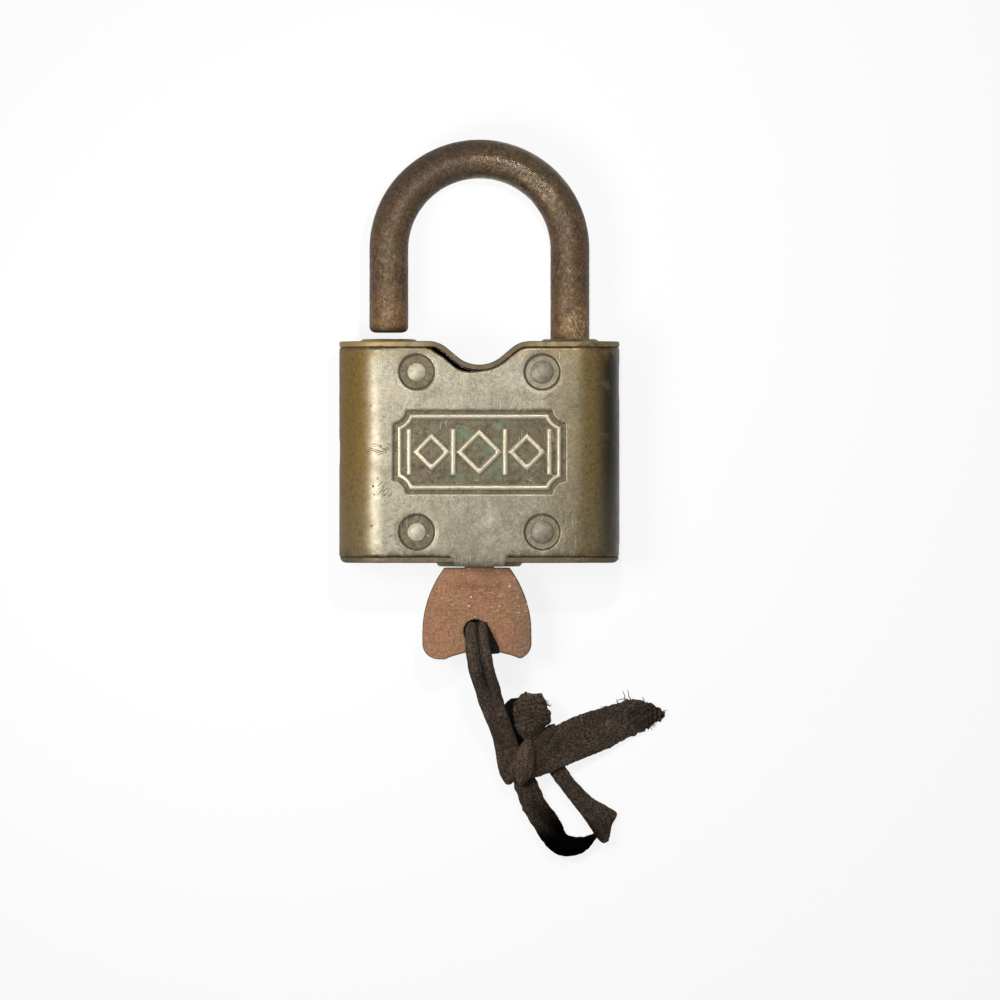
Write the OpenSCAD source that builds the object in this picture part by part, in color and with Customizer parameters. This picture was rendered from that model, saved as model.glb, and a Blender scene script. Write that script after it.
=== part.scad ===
// An open pressed-metal padlock that lies on its back, with its key in it
// and a cloth tape tied through the key. All sizes are in millimetres.
// The case's back face is at z = 0, the shackle points along +Y, and the
// origin is the centre of the back face.

/* [Case] */
// Width of the case across both sides
case_w = 57.15; // [52:0.05:72]
// Height of the brass sheet, without the two cap plates
sheet_h = 42.8; // [40:0.1:56]
// Thickness of the case, which also rounds its sides
case_t = 18; // [17:0.5:23]
// Thickness of the wrapped brass sheet
sheet_t = 1.4; // [1:0.1:1.8]
// Thickness of the steel cap plates
cap_t = 1.15; // [0.8:0.05:1.6]
// Radius of the case's lower corners
corner_r = 1.6; // [0.6:0.1:3]
// Depth of the notch in the top edge
notch_depth = 4.8; // [3.6:0.1:6]
// Radius of the notch floor
notch_floor_r = 8; // [6:0.5:9]
// Radius of the shoulders beside the notch
notch_shoulder_r = 4.6; // [3:0.2:5.6]
// Slope of the notch sides in degrees
notch_slope = 40; // [32:1:42]
// Width of the front tongue over the keyway boss
tongue_w = 10.1; // [6:0.1:12]

/* [Rivets] */
// Radius of the round well around each rivet
well_r = 3.75; // [3:0.05:4.5]
// Depth of each rivet well
well_depth = 0.8; // [0.4:0.1:0.9]
// Radius of the rivet shanks
rivet_r = 1.1; // [0.8:0.05:1.3]
// Radius of the left rivets' flat heads
flat_head_r = 1.9; // [1.5:0.1:2.8]
// Radius of the right rivets' domed heads
dome_head_r = 2.3; // [1.6:0.1:3]
// Distance from the sheet's end to the rivets
rivet_edge = 5.15; // [5:0.05:6.5]
// Gap between the rivet shanks and the shackle legs
rivet_gap = 0.6; // [0.3:0.1:1.5]

/* [Plaque] */
// Width of the sunken plaque on the front
plaque_w = 35; // [24:1:40]
// Height of the sunken plaque
plaque_h = 17; // [10:1:20]
// Depth of the plaque
plaque_depth = 0.35; // [0.2:0.05:0.6]
// Radius of the scooped plaque corners
scoop_r = 2.6; // [1.5:0.1:4]

/* [Shackle] */
// Diameter of the shackle rod
rod_d = 8; // [6.6:0.1:9.8]
// Distance from the side of the case to the centre of a shackle leg
leg_edge = 10.125; // [9:0.125:11]
// Height of the bend's centre above the top plate
bend_rise = 18.75; // [14:0.25:30]
// Gap from the top plate to the toe when the shackle is open
toe_gap = 1.8; // [1:0.1:6]
// Distance the shackle moves to close
travel = 12; // [9.5:0.5:14.5]
// Radius of the turned neck in the heel leg
neck_r = 2.6; // [2:0.1:2.8]
// Length of the full head below the neck
head_len = 3; // [2.4:0.1:4]
// Radial clearance of the legs in their holes
leg_clear = 0.1; // [0.05:0.05:0.3]

/* [Lock] */
// Diameter of the key plug
plug_d = 11; // [10.4:0.2:12]
// Length of the key plug
plug_len = 18.35; // [18:0.05:20]
// Thickness of the bolt, along the shackle
bolt_h = 3; // [2:0.1:3.2]
// Eccentricity of the plug's drive pin
drive_e = 1.15; // [0.9:0.05:1.3]
// Radius of the plug's drive pin
drive_r = 1; // [0.8:0.1:1.2]
// Distance the wafers move as the key leaves
wafer_shift = 0.8; // [0.4:0.1:0.9]
// Distance between the wafers
wafer_pitch = 3; // [2.4:0.1:3.2]

/* [Key] */
// Width of the key blade
blade_w = 5.6; // [5:0.1:5.8]
// Thickness of the key blade
blade_t = 1.6; // [1:0.1:1.8]
// Thickness of the key bow
bow_t = 2; // [1.6:0.1:3]
// Width of the key bow at its widest
bow_w = 22.3; // [20:0.1:26]
// Length of the key bow
bow_len = 18.75; // [17:0.25:22]
// Radius of the hole in the bow
bow_hole_r = 2.35; // [2.3:0.05:3.2]

/* [Hidden] */
$fn = 64;
eps = 0.01;
fit = 0.05;            // running clearance of turned parts
slack = 0.1;           // running clearance of flat parts

// Case
mid_z = case_t / 2;
sheet_top = sheet_h / 2;
sheet_bottom = -sheet_h / 2;
cap_top = sheet_top + cap_t;
inner_half = mid_z - sheet_t;
flat_half = case_w / 2 - mid_z;
boss_r = mid_z - 0.4;
boss_drop = 1.9;
boss_face = sheet_bottom - boss_drop;
boss_edge_r = 0.6;
lip_r = 0.9;
lip_h = 0.5;
notch_rise = (notch_floor_r + notch_shoulder_r) * (1 - cos(notch_slope));
notch_line = (notch_depth - notch_rise) / sin(notch_slope);
notch_half = (notch_floor_r + notch_shoulder_r) * sin(notch_slope)
    + notch_line * cos(notch_slope);
ear_w = 6.4;
ear_t = 1;
border_inset = 0.9;
border_w = 0.8;
lozenge_w = 6.6;
lozenge_step = 9.7;
lozenge_shrink = 1.2;
pattern_line = 0.9;
bar_h = 9.4;
bar_places = [-14.3, -5.3, 5.3, 14.3];

// Shackle, open at rest
rod_r = rod_d / 2;
leg_x = case_w / 2 - leg_edge;
bend_y = cap_top + bend_rise;
toe_end = cap_top + toe_gap;
toe_round = 1.2;
rivet_x = leg_x - rod_r - rivet_gap - rivet_r;
rivet_y = sheet_top - rivet_edge;
rivet_flat_h = 0.7;
rivet_dome_h = 1.1;
well_floor = case_t - well_depth;

// Key plug
plug_r = plug_d / 2;
flange_r = plug_r + 0.8;
flange_h = 0.9;
plug_face = boss_face + fit;
plug_end = plug_face + plug_len;
housing_end = plug_end - 1.3;
housing_half = plug_r + 2.5;
lobe_h = 5;
lobe_inset = 1.1;
clip_t = 0.7;
clip_groove = 0.9;
clip_gap_angle = 80;

// Bolt and the heel's stops
bolt_y = plug_end + 0.3;
bolt_half_z = 2.5;
bolt_tail_half_z = drive_e + drive_r + 1.45;
bolt_tail_end = 3.2;
bolt_nose = leg_x - rod_r - 0.45;
drive_len = 3.9;
guide_wall = 1.3;
guide_r = rod_r + leg_clear + guide_wall;
bolt_guide_x = housing_half + 0.5;
bolt_guide_end = leg_x - guide_r - 0.3;
bolt_guide_rim = 3;
head_top = bolt_y - 0.1 + travel;
head_bottom = head_top - head_len;
pin_r = 1;
pin_gap = 0.15;
pin_x = leg_x - neck_r - pin_gap - pin_r;
pin_y = head_top + 0.1 + pin_r;
pin_half = sqrt(guide_r * guide_r - (leg_x - pin_x) * (leg_x - pin_x)) - fit;
neck_top = pin_y + pin_r + 0.1 + travel;
guide_end = head_bottom - travel - 4.3;
follower_r = rod_r - 0.4;
follower_h = 1.5;
follower_y = head_bottom - follower_h;
socket_floor_t = 1;
socket_floor = toe_end - travel - 0.55;

// Springs
spring_wire_r = 0.4;
spring_r = rod_r - 1.3;
spring_turns = 10;
spring_steps = 12;
post_r = spring_r - 2 * spring_wire_r - 0.2;
post_h = 3;
wafer_wire_r = 0.11;
wafer_spring_r = 0.5;
wafer_spring_len = 2;
wafer_spring_turns = 4;
wafer_spring_steps = 8;

// Wafers
wafer_t = 1;
wafer_half_z = 2;
wafer_half_x = sqrt(plug_r * plug_r - wafer_half_z * wafer_half_z) - 0.12;
window_half = blade_w / 2 + wafer_shift + slack;
ear_half_x = 0.6;
ear_top_z = 3.2;
groove_r = plug_r + 0.8;
wafer_first = plug_face + 4.25;
wafer_sides = [1, -1, 1, -1];
function wafer_y(i) = wafer_first + i * wafer_pitch;

// Key
bow_x = -0.5;
bow_top = boss_face - 0.2;
bow_bottom = bow_top - bow_len;
bow_side_r = 22.5;
bow_corner_r = 3.35;
bow_wide_y = bow_top - 13.5;
bow_dip = 1.7;
bow_dip_x = 1.3;
bow_hole_x = -0.8;
bow_hole_y = bow_top - 13;
blade_tip = plug_end - 2.1;
cut_r = 1.2;
cut_depths = [0.7, 1, 0.5, 0.9];

// Cloth tape: one length that is tied in a half bow. The points are the middle of the
// tape, from the short tail to the long tail, for a key whose hole is at tape_home.
tape_w = 7.9;
tape_home = [-0.8, -36.5, 9];
function placed(route) = [
    for (p = route) [
        p.x + bow_hole_x - tape_home.x, p.y + bow_hole_y - tape_home.y, p.z * mid_z / tape_home.z
    ]
];
short_tail_route = [[8.4, -60, 3], [9.2, -57.5, 3.6], [10.6, -54.2, 3.8], [12.4, -50.8, 3.4]];
loop_route = [
    [6.9, -61, 3.9], [5.6, -57.4, 5.6], [3.6, -52.4, 8.2], [1.6, -47.2, 10.5],
    [0.2, -42.6, 12], [-0.5, -39.4, 12.3], [-0.7, -37.4, 11.4], [-0.8, -36.5, 9.8],
    [-0.8, -36.4, 8.2], [-0.7, -37.2, 6.6], [-0.4, -39.2, 5.7], [0.4, -42.6, 5.3],
    [1.8, -47.2, 4.3], [3.8, -52.4, 3], [5.8, -57.4, 2], [7, -61, 1.6]
];
bow_route = [
    [8.6, -65.4, 2.6], [10.8, -70.4, 2.4], [13.6, -75.2, 2.3], [17.2, -78.4, 2.2],
    [21, -80, 2.2], [24.6, -79.2, 2.2], [25.4, -76, 2.2], [23.2, -72.2, 2.2],
    [20, -68.4, 2.3], [16.4, -65.4, 2.5], [11.6, -63.4, 2.8]
];
long_tail_route = [
    [10.8, -62.6, 2.6], [14.6, -61, 2.2], [18.6, -59.2, 1.4], [23, -57.4, 0.9],
    [27.6, -55.6, 0.8], [32, -54.2, 0.8], [36.4, -53, 0.8]
];
knot_lumps = [[5.9, -62.2, 2.7], [8.2, -61.4, 2.8], [7.4, -64.4, 2.7], [9.7, -63, 2.7]];
knot_lump_r = 2.5;

brass = "#8f866a";
steel = "#77706a";
rust = "#5c4a3c";
key_rust = "#966a52";
cloth = "#3a322c";

// Shared shapes

// A cylinder along Y, from y0 to y1
module y_rod(r, y0, y1, x = 0, z = mid_z) {
    translate([x, y0, z]) rotate([-90, 0, 0]) cylinder(r = r, h = y1 - y0);
}

// A box from one corner to the other
module block(low, high) {
    translate(low) cube(high - low);
}

// The case's section, with fully round sides
module case_section(inset) {
    square([2 * flat_half, case_t - 2 * inset], center = true);
    for (side = [-1, 1]) translate([side * flat_half, 0]) circle(r = mid_z - inset);
}

module case_prism(inset, y0, y1) {
    translate([0, y0, mid_z]) rotate([-90, 0, 0]) linear_extrude(y1 - y0) case_section(inset);
}

// The notch seen from the front, for an outline grown by grow
module notch_cut(grow) {
    top = sheet_top + grow;
    floor_y = sheet_top - notch_depth + notch_floor_r;
    shoulder_y = sheet_top - notch_shoulder_r;
    floor_r = notch_floor_r - grow;
    shoulder_r = notch_shoulder_r + grow;
    s = sin(notch_slope);
    c = cos(notch_slope);
    low = [floor_r * s, floor_y - floor_r * c];
    high = [notch_half - shoulder_r * s, shoulder_y + shoulder_r * c];
    difference() {
        polygon([
            [-notch_half, top + 1], [-notch_half, shoulder_y], [-high.x, shoulder_y], [-high.x, high.y],
            [-low.x, low.y], [low.x, low.y], high, [high.x, shoulder_y],
            [notch_half, shoulder_y], [notch_half, top + 1]
        ]);
        for (side = [-1, 1]) translate([side * notch_half, shoulder_y]) circle(r = shoulder_r);
    }
    translate([0, floor_y]) circle(r = floor_r);
}

// The case's outline from the front, with its notched top grown by grow
module face_outline(grow) {
    bottom = sheet_bottom - cap_t;
    difference() {
        union() {
            translate([-case_w / 2, bottom + corner_r])
                square([case_w, sheet_top + grow - bottom - corner_r]);
            translate([-case_w / 2 + corner_r, bottom]) square([case_w - 2 * corner_r, corner_r + 1]);
            for (side = [-1, 1]) {
                translate([side * (case_w / 2 - corner_r), bottom + corner_r]) circle(r = corner_r);
            }
        }
        notch_cut(grow);
    }
}

// The case's outline as a solid through its whole thickness
module face_solid(grow) {
    translate([0, 0, -1]) linear_extrude(case_t + 2) face_outline(grow);
}

// A plaque outline with scooped corners, inset from its edge
module plaque_outline(inset) {
    difference() {
        square([plaque_w - 2 * inset, plaque_h - 2 * inset], center = true);
        for (x = [-1, 1], y = [-1, 1]) {
            translate([x * plaque_w / 2, y * plaque_h / 2]) circle(r = scoop_r + inset);
        }
    }
}

// The plaque's raised pattern: lozenge rings between upright bars
module plaque_pattern() {
    for (i = [-1 : 1]) translate([i * lozenge_step, 0]) rotate(45) {
        side = lozenge_w - abs(i) * lozenge_shrink;
        difference() {
            square(side, center = true);
            square(side - 2 * pattern_line, center = true);
        }
    }
    for (x = bar_places) translate([x, 0]) square([pattern_line, bar_h], center = true);
}

// Every rivet's place, as [x, y]
module at_rivets(sides = [-1, 1], ends = [-1, 1]) {
    for (x = sides, y = ends) translate([x * rivet_x, y * rivet_y, 0]) children();
}

// A tube swept along a route, flattened to width by thickness. Its width lies
// square to up, or along across where that is given.
function unit(v) = v / norm(v);
function heading(route, i) = unit(route[min(i + 1, len(route) - 1)] - route[max(i - 1, 0)]);
module tube(route, width, thickness, sides = 8, up = [0, 0, 1], across = [0, 0, 0]) {
    grow = 1 / cos(180 / sides);
    points = [
        for (i = [0 : len(route) - 1])
            let (
                ahead = heading(route, i),
                wide = norm(across) > 0 ? unit(across - (across * ahead) * ahead)
                    : unit(cross(up, ahead)),
                thick = cross(ahead, wide)
            )
            for (k = [0 : sides - 1])
                let (a = (k + 0.5) * 360 / sides)
                route[i] + grow / 2 * (width * cos(a) * wide + thickness * sin(a) * thick)
    ];
    last = (len(route) - 1) * sides;
    skin = [
        for (i = [0 : len(route) - 2], k = [0 : sides - 1])
            let (a = i * sides + k, b = i * sides + (k + 1) % sides)
            each [[a, a + sides, b], [b, a + sides, b + sides]]
    ];
    start = [for (k = [0 : sides - 1]) k];
    end = [for (k = [sides - 1 : -1 : 0]) last + k];
    polyhedron(points, concat(skin, [start], [end]));
}

function coil(r, length, turns, steps) = [
    for (i = [0 : turns * steps]) [
        r * cos(i * 360 / steps), length * i / (turns * steps), r * sin(i * 360 / steps)
    ]
];

// A coil spring along Y, standing at y = 0
module spring(r, wire_r, length, turns, steps, sides) {
    translate([0, wire_r, 0])
        tube(coil(r - wire_r, length - 2 * wire_r, turns, steps), 2 * wire_r, 2 * wire_r,
            sides, up = [0, 1, 0]);
}

// The case

module case_shell() color(brass) {
    difference() {
        intersection() {
            case_prism(0, sheet_bottom, sheet_top);
            face_solid(0);
        }
        case_prism(sheet_t, sheet_bottom - 1, sheet_top + 1);
        at_rivets() {
            translate([0, 0, well_floor]) cylinder(r = well_r, h = case_t);
            translate([0, 0, -1]) cylinder(r = well_r, h = well_depth + 1);
            translate([0, 0, -1]) cylinder(r = rivet_r, h = case_t + 2);
        }
        translate([0, 0, case_t - plaque_depth]) linear_extrude(1) difference() {
            plaque_outline(0);
            difference() {
                plaque_outline(border_inset);
                plaque_outline(border_inset + border_w);
            }
            plaque_pattern();
        }
    }
    block([-tongue_w / 2, boss_face, case_t - sheet_t], [tongue_w / 2, sheet_bottom, case_t]);
}

// An ear of a cap plate, inside the case's front and back, from y0 to y1
module plate_ears(y0, y1) {
    for (x = [-1, 1], z = [sheet_t, case_t - sheet_t - ear_t]) {
        block([x * rivet_x - ear_w / 2, y0, z], [x * rivet_x + ear_w / 2, y1, z + ear_t]);
    }
}

// A round lip pressed up around a shackle hole, whose bore has radius r
module hole_lip(r) {
    bulge = (lip_r * lip_r + lip_h * lip_h) / (2 * lip_h);
    rotate([-90, 0, 0]) rotate_extrude() translate([r + lip_r, 0]) intersection() {
        translate([0, lip_h - bulge]) circle(r = bulge);
        translate([-lip_r, -eps]) square([2 * lip_r, lip_h + 2 * eps]);
    }
}

module top_plate() color(steel) difference() {
    union() {
        intersection() {
            case_prism(0, sheet_top - notch_depth - 1, cap_top);
            translate([0, 0, -1]) linear_extrude(case_t + 2) difference() {
                face_outline(cap_t);
                face_outline(0);
            }
        }
        plate_ears(rivet_y - ear_w / 2, sheet_top);
        for (side = [-1, 1]) translate([side * leg_x, cap_top, mid_z]) hole_lip(rod_r + leg_clear);
    }
    for (side = [-1, 1]) y_rod(rod_r + leg_clear, sheet_top - 1, cap_top + 1, side * leg_x);
    at_rivets(ends = [1]) cylinder(r = rivet_r, h = case_t);
}

module bottom_plate() color(steel) difference() {
    union() {
        intersection() {
            case_prism(0, sheet_bottom - cap_t, sheet_bottom);
            face_solid(0);
        }
        y_rod(boss_r, boss_face + boss_edge_r, sheet_bottom);
        y_rod(boss_r - boss_edge_r, boss_face, boss_face + boss_edge_r + eps);
        translate([0, boss_face + boss_edge_r, mid_z]) rotate([-90, 0, 0]) rotate_extrude()
            translate([boss_r - boss_edge_r, 0]) circle(r = boss_edge_r);
        plate_ears(sheet_bottom, rivet_edge + sheet_bottom + ear_w / 2);
        y_rod(post_r, sheet_bottom, sheet_bottom + post_h, leg_x);
    }
    y_rod(plug_r + fit, boss_face - 1, sheet_bottom + 1);
    y_rod(flange_r + slack, boss_face - 1, plug_face + flange_h + fit);
    block([-tongue_w / 2, boss_face - 1, case_t - sheet_t], [tongue_w / 2, sheet_bottom, case_t + 1]);
    at_rivets(ends = [-1]) cylinder(r = rivet_r, h = case_t);
}

// A rivet through the case, with one head in each well
module rivet(head_r, head_h) {
    translate([0, 0, well_depth]) cylinder(r = rivet_r, h = well_floor - well_depth);
    rivet_head(head_r, head_h);
    translate([0, 0, case_t]) mirror([0, 0, 1]) rivet_head(flat_head_r, rivet_flat_h);
}

// A rivet head that stands on the front well's floor, with a rounded edge
module rivet_head(head_r, head_h) {
    edge = head_h * 0.6;
    bulge = (head_r * head_r + edge * edge) / (2 * edge);
    translate([0, 0, well_floor]) {
        cylinder(r = head_r, h = head_h - edge);
        translate([0, 0, head_h - edge]) rotate_extrude() intersection() {
            translate([0, edge - bulge]) circle(r = bulge);
            square([head_r, edge + eps]);
        }
    }
}

module rivet_upper_left() color(brass) at_rivets([-1], [1]) rivet(flat_head_r, rivet_flat_h);
module rivet_upper_right() color(steel) at_rivets([1], [1]) rivet(dome_head_r, rivet_dome_h);
module rivet_lower_left() color(brass) at_rivets([-1], [-1]) rivet(flat_head_r, rivet_flat_h);
module rivet_lower_right() color(steel) at_rivets([1], [-1]) rivet(dome_head_r, rivet_dome_h);

// Shackle and what guides it

module toe_socket() color(steel) difference() {
    y_rod(guide_r, socket_floor - socket_floor_t, sheet_top, -leg_x);
    y_rod(rod_r + leg_clear, socket_floor, sheet_top + 1, -leg_x);
    at_rivets([-1], [1]) cylinder(r = rivet_r + slack, h = case_t);
}

module heel_guide() color(steel) difference() {
    y_rod(guide_r, guide_end, sheet_top, leg_x);
    y_rod(rod_r + leg_clear, guide_end - 1, sheet_top + 1, leg_x);
    at_rivets([1]) cylinder(r = rivet_r + slack, h = case_t);
    translate([pin_x, pin_y, 0]) cylinder(r = pin_r, h = case_t);
    block([leg_x - guide_r - 1, bolt_y - slack, mid_z - bolt_half_z - slack],
        [leg_x - 1, bolt_y + bolt_h + slack, mid_z + bolt_half_z + slack]);
}

module heel_pin() color(steel) {
    translate([pin_x, pin_y, mid_z - pin_half]) cylinder(r = pin_r, h = 2 * pin_half);
}

module spring_follower() color(steel) {
    y_rod(follower_r, follower_y, head_bottom, leg_x);
    y_rod(post_r, follower_y - post_h, follower_y, leg_x);
}

module lift_spring() color(steel) {
    translate([leg_x, sheet_bottom, mid_z])
        spring(spring_r, spring_wire_r, follower_y - sheet_bottom, spring_turns, spring_steps, 6);
}

module shackle() color(rust) {
    // the bend
    translate([0, bend_y, mid_z]) rotate_extrude(angle = 180) translate([leg_x, 0]) circle(r = rod_r);
    // the toe, with a rounded end
    y_rod(rod_r, toe_end + toe_round, bend_y, -leg_x);
    y_rod(rod_r - toe_round, toe_end, toe_end + toe_round, -leg_x);
    translate([-leg_x, toe_end + toe_round, mid_z]) rotate([-90, 0, 0]) rotate_extrude()
        translate([rod_r - toe_round, 0]) circle(r = toe_round);
    // the heel, with a turned neck above its head
    y_rod(rod_r, neck_top, bend_y, leg_x);
    y_rod(neck_r, head_top, neck_top, leg_x);
    y_rod(rod_r, head_bottom, head_top, leg_x);
}

// Key plug

module plug_housing() color(brass) difference() {
    union() {
        block([-housing_half, sheet_bottom, sheet_t], [housing_half, housing_end, case_t - sheet_t]);
        block([-rivet_x - rivet_r - lobe_inset, -rivet_y - lobe_h / 2, sheet_t + ear_t],
            [rivet_x + rivet_r + lobe_inset, -rivet_y + lobe_h / 2, case_t - sheet_t - ear_t]);
    }
    y_rod(plug_r + fit, sheet_bottom - 1, housing_end + 1);
    at_rivets(ends = [-1]) cylinder(r = rivet_r, h = case_t);
    // grooves that the wafers stand in without the key
    for (turn = [0, 90]) translate([0, 0, mid_z]) rotate([0, turn, 0])
        block([-groove_r - slack, wafer_y(0) - wafer_t, -wafer_half_z - 2 * slack],
            [groove_r + slack, wafer_y(3) + wafer_t, wafer_half_z + 2 * slack]);
}

// The pocket of one wafer, its ear and its spring
module wafer_pocket(side) {
    t = wafer_t / 2 + fit;
    block([-plug_r - 1, -t, -wafer_half_z - fit], [plug_r + 1, t, wafer_half_z + fit]);
    low = -side * (ear_half_x + wafer_spring_len);
    high = side * (ear_half_x + wafer_shift + slack);
    block([min(low, high), -t, 0], [max(low, high), t, ear_top_z + fit]);
}

module keyway_plug() color(brass) difference() {
    union() {
        y_rod(plug_r, plug_face, plug_end);
        y_rod(flange_r, plug_face, plug_face + flange_h);
        translate([-drive_e * sin(45), plug_end, mid_z + drive_e * cos(45)])
            rotate([-90, 0, 0]) cylinder(r = drive_r, h = drive_len);
    }
    block([-blade_w / 2 - slack, plug_face - 1, mid_z - blade_t / 2 - slack],
        [blade_w / 2 + slack, blade_tip + 0.4, mid_z + blade_t / 2 + slack]);
    for (i = [0 : 3]) translate([0, wafer_y(i), mid_z]) wafer_pocket(wafer_sides[i]);
    difference() {
        y_rod(plug_r + 1, housing_end + slack, housing_end + slack + clip_t);
        y_rod(plug_r - clip_groove, housing_end, plug_end);
    }
}

module plug_clip() color(steel) difference() {
    y_rod(plug_r + clip_groove, housing_end + slack, housing_end + slack + clip_t);
    y_rod(plug_r - clip_groove, housing_end, plug_end);
    gap_half = plug_d * tan(clip_gap_angle / 2);
    translate([0, housing_end, mid_z]) rotate([-90, 0, 0]) linear_extrude(4 * clip_t)
        polygon([[0, 0], [plug_d, -gap_half], [plug_d, gap_half]]);
}

// The wafer in pocket i: a plate with a window for the blade and an ear
module wafer(i) {
    translate([0, wafer_y(i), mid_z]) difference() {
        union() {
            block([-wafer_half_x, -wafer_t / 2, -wafer_half_z],
                [wafer_half_x, wafer_t / 2, wafer_half_z]);
            block([-ear_half_x, -wafer_t / 2, 0], [ear_half_x, wafer_t / 2, ear_top_z]);
        }
        block([-window_half, -wafer_t, -blade_t / 2 - slack],
            [window_half, wafer_t, blade_t / 2 + slack]);
    }
}

module wafer_1() color("khaki") wafer(0);
module wafer_2() color("khaki") wafer(1);
module wafer_3() color("khaki") wafer(2);
module wafer_4() color("khaki") wafer(3);

module wafer_springs() color(steel) {
    z = mid_z + ear_top_z - wafer_spring_r - fit;
    for (i = [0 : 3]) translate([-wafer_sides[i] * ear_half_x, wafer_y(i), z])
        rotate([0, 0, wafer_sides[i] * 90])
            spring(wafer_spring_r, wafer_wire_r, wafer_spring_len, wafer_spring_turns,
                wafer_spring_steps, 5);
}

// Bolt

module bolt() color(steel) difference() {
    union() {
        block([-bolt_tail_end, bolt_y, mid_z - bolt_half_z],
            [bolt_nose, bolt_y + bolt_h, mid_z + bolt_half_z]);
        block([-bolt_tail_end, bolt_y, mid_z - bolt_tail_half_z],
            [bolt_tail_end, bolt_y + bolt_h, mid_z + bolt_tail_half_z]);
    }
    // the slot that the plug's drive pin works in
    slot_x = -drive_e * sin(45);
    slot_low = mid_z + drive_e * cos(45);
    slot_high = mid_z + drive_e;
    for (z = [slot_low, slot_high]) {
        y_rod(drive_r + slack, bolt_y - 1, bolt_y + bolt_h + 1, slot_x, z);
    }
    block([slot_x - drive_r - slack, bolt_y - 1, slot_low],
        [slot_x + drive_r + slack, bolt_y + bolt_h + 1, slot_high]);
}

module bolt_guide() color(brass) difference() {
    block([bolt_guide_x, bolt_y - bolt_guide_rim, sheet_t],
        [bolt_guide_end, bolt_y + bolt_h + bolt_guide_rim, case_t - sheet_t]);
    block([bolt_guide_x - 1, bolt_y - slack, mid_z - bolt_half_z - slack],
        [bolt_guide_end + 1, bolt_y + bolt_h + slack, mid_z + bolt_half_z + slack]);
}

// Key

// The bow's outline: two side arcs, round corners and a dipped end
module bow_outline() {
    side_x = bow_w / 2 - bow_side_r;
    corner_x = bow_w / 2 - bow_corner_r;
    corner_y = bow_bottom + bow_corner_r;
    dip_r = (corner_x * corner_x + bow_dip * bow_dip) / (2 * bow_dip);
    difference() {
        union() {
            intersection() {
                translate([side_x, bow_wide_y]) circle(r = bow_side_r);
                translate([-side_x, bow_wide_y]) circle(r = bow_side_r);
                translate([-bow_w, corner_y]) square([2 * bow_w, bow_top - corner_y]);
            }
            for (side = [-1, 1]) translate([side * corner_x, corner_y]) circle(r = bow_corner_r);
            translate([-corner_x, bow_bottom]) square([2 * corner_x, bow_corner_r + eps]);
        }
        translate([bow_dip_x, bow_bottom + bow_dip - dip_r]) circle(r = dip_r);
    }
}

module key() color(key_rust) {
    difference() {
        translate([bow_x, 0, mid_z - bow_t / 2]) linear_extrude(bow_t) bow_outline();
        translate([bow_hole_x, bow_hole_y, 0]) cylinder(r = bow_hole_r, h = case_t);
    }
    translate([0, 0, mid_z - blade_t / 2]) linear_extrude(blade_t) difference() {
        half = blade_w / 2;
        tip_half = 0.6;
        polygon([
            [-half, bow_top - 1], [-half, blade_tip - half], [-tip_half, blade_tip],
            [tip_half, blade_tip], [half, blade_tip - half], [half, bow_top - 1]
        ]);
        for (i = [0 : 3]) {
            translate([wafer_sides[i] * (half + cut_r - cut_depths[i]), wafer_y(i)]) circle(r = cut_r);
        }
    }
}

// Cloth tape

module tape_short_tail() color(cloth) tube(placed(short_tail_route), 5.2, 1.2);
module tape_loop() color(cloth) tube(placed(loop_route), 4.2, 1.8, across = [0.95, 0.31, 0]);
module tape_bow() color(cloth) tube(placed(bow_route), 3.2, 3);
module tape_long_tail() color(cloth) tube(placed(long_tail_route), tape_w, 1);
module tape_knot() color(cloth) hull() {
    for (p = placed(knot_lumps)) translate(p) sphere(r = knot_lump_r, $fn = 20);
}

case_shell();
top_plate();
bottom_plate();
rivet_upper_left();
rivet_upper_right();
rivet_lower_left();
rivet_lower_right();
toe_socket();
heel_guide();
heel_pin();
lift_spring();
spring_follower();
shackle();
plug_housing();
keyway_plug();
plug_clip();
wafer_1();
wafer_2();
wafer_3();
wafer_4();
wafer_springs();
bolt();
bolt_guide();
key();
tape_short_tail();
tape_loop();
tape_bow();
tape_long_tail();
tape_knot();
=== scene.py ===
import itertools
import math
import random

import bpy
import numpy as np
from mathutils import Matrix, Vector


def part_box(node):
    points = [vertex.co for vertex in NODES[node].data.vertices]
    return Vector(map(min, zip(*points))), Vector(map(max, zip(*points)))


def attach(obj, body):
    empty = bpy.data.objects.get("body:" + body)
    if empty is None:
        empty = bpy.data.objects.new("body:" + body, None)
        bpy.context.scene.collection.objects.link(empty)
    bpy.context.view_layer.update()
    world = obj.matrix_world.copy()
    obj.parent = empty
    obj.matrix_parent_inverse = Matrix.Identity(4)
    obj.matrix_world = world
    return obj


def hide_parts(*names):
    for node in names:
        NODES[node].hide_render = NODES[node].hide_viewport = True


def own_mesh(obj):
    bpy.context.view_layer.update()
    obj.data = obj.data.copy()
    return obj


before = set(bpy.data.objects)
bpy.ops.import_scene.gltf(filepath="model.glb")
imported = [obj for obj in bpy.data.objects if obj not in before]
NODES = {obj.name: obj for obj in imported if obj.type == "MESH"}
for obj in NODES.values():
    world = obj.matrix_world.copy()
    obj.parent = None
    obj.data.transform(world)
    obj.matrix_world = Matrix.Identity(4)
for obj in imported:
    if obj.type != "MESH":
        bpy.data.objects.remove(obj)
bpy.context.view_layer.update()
MM = 0.001
rng = random.Random(7)

# ---------------------------------------------------------------- places read from the frame


def box_mm(node):
    """The low and the high corner of a CAD node, in millimetres."""
    return [np.array(corner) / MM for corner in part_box(node)]


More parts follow.
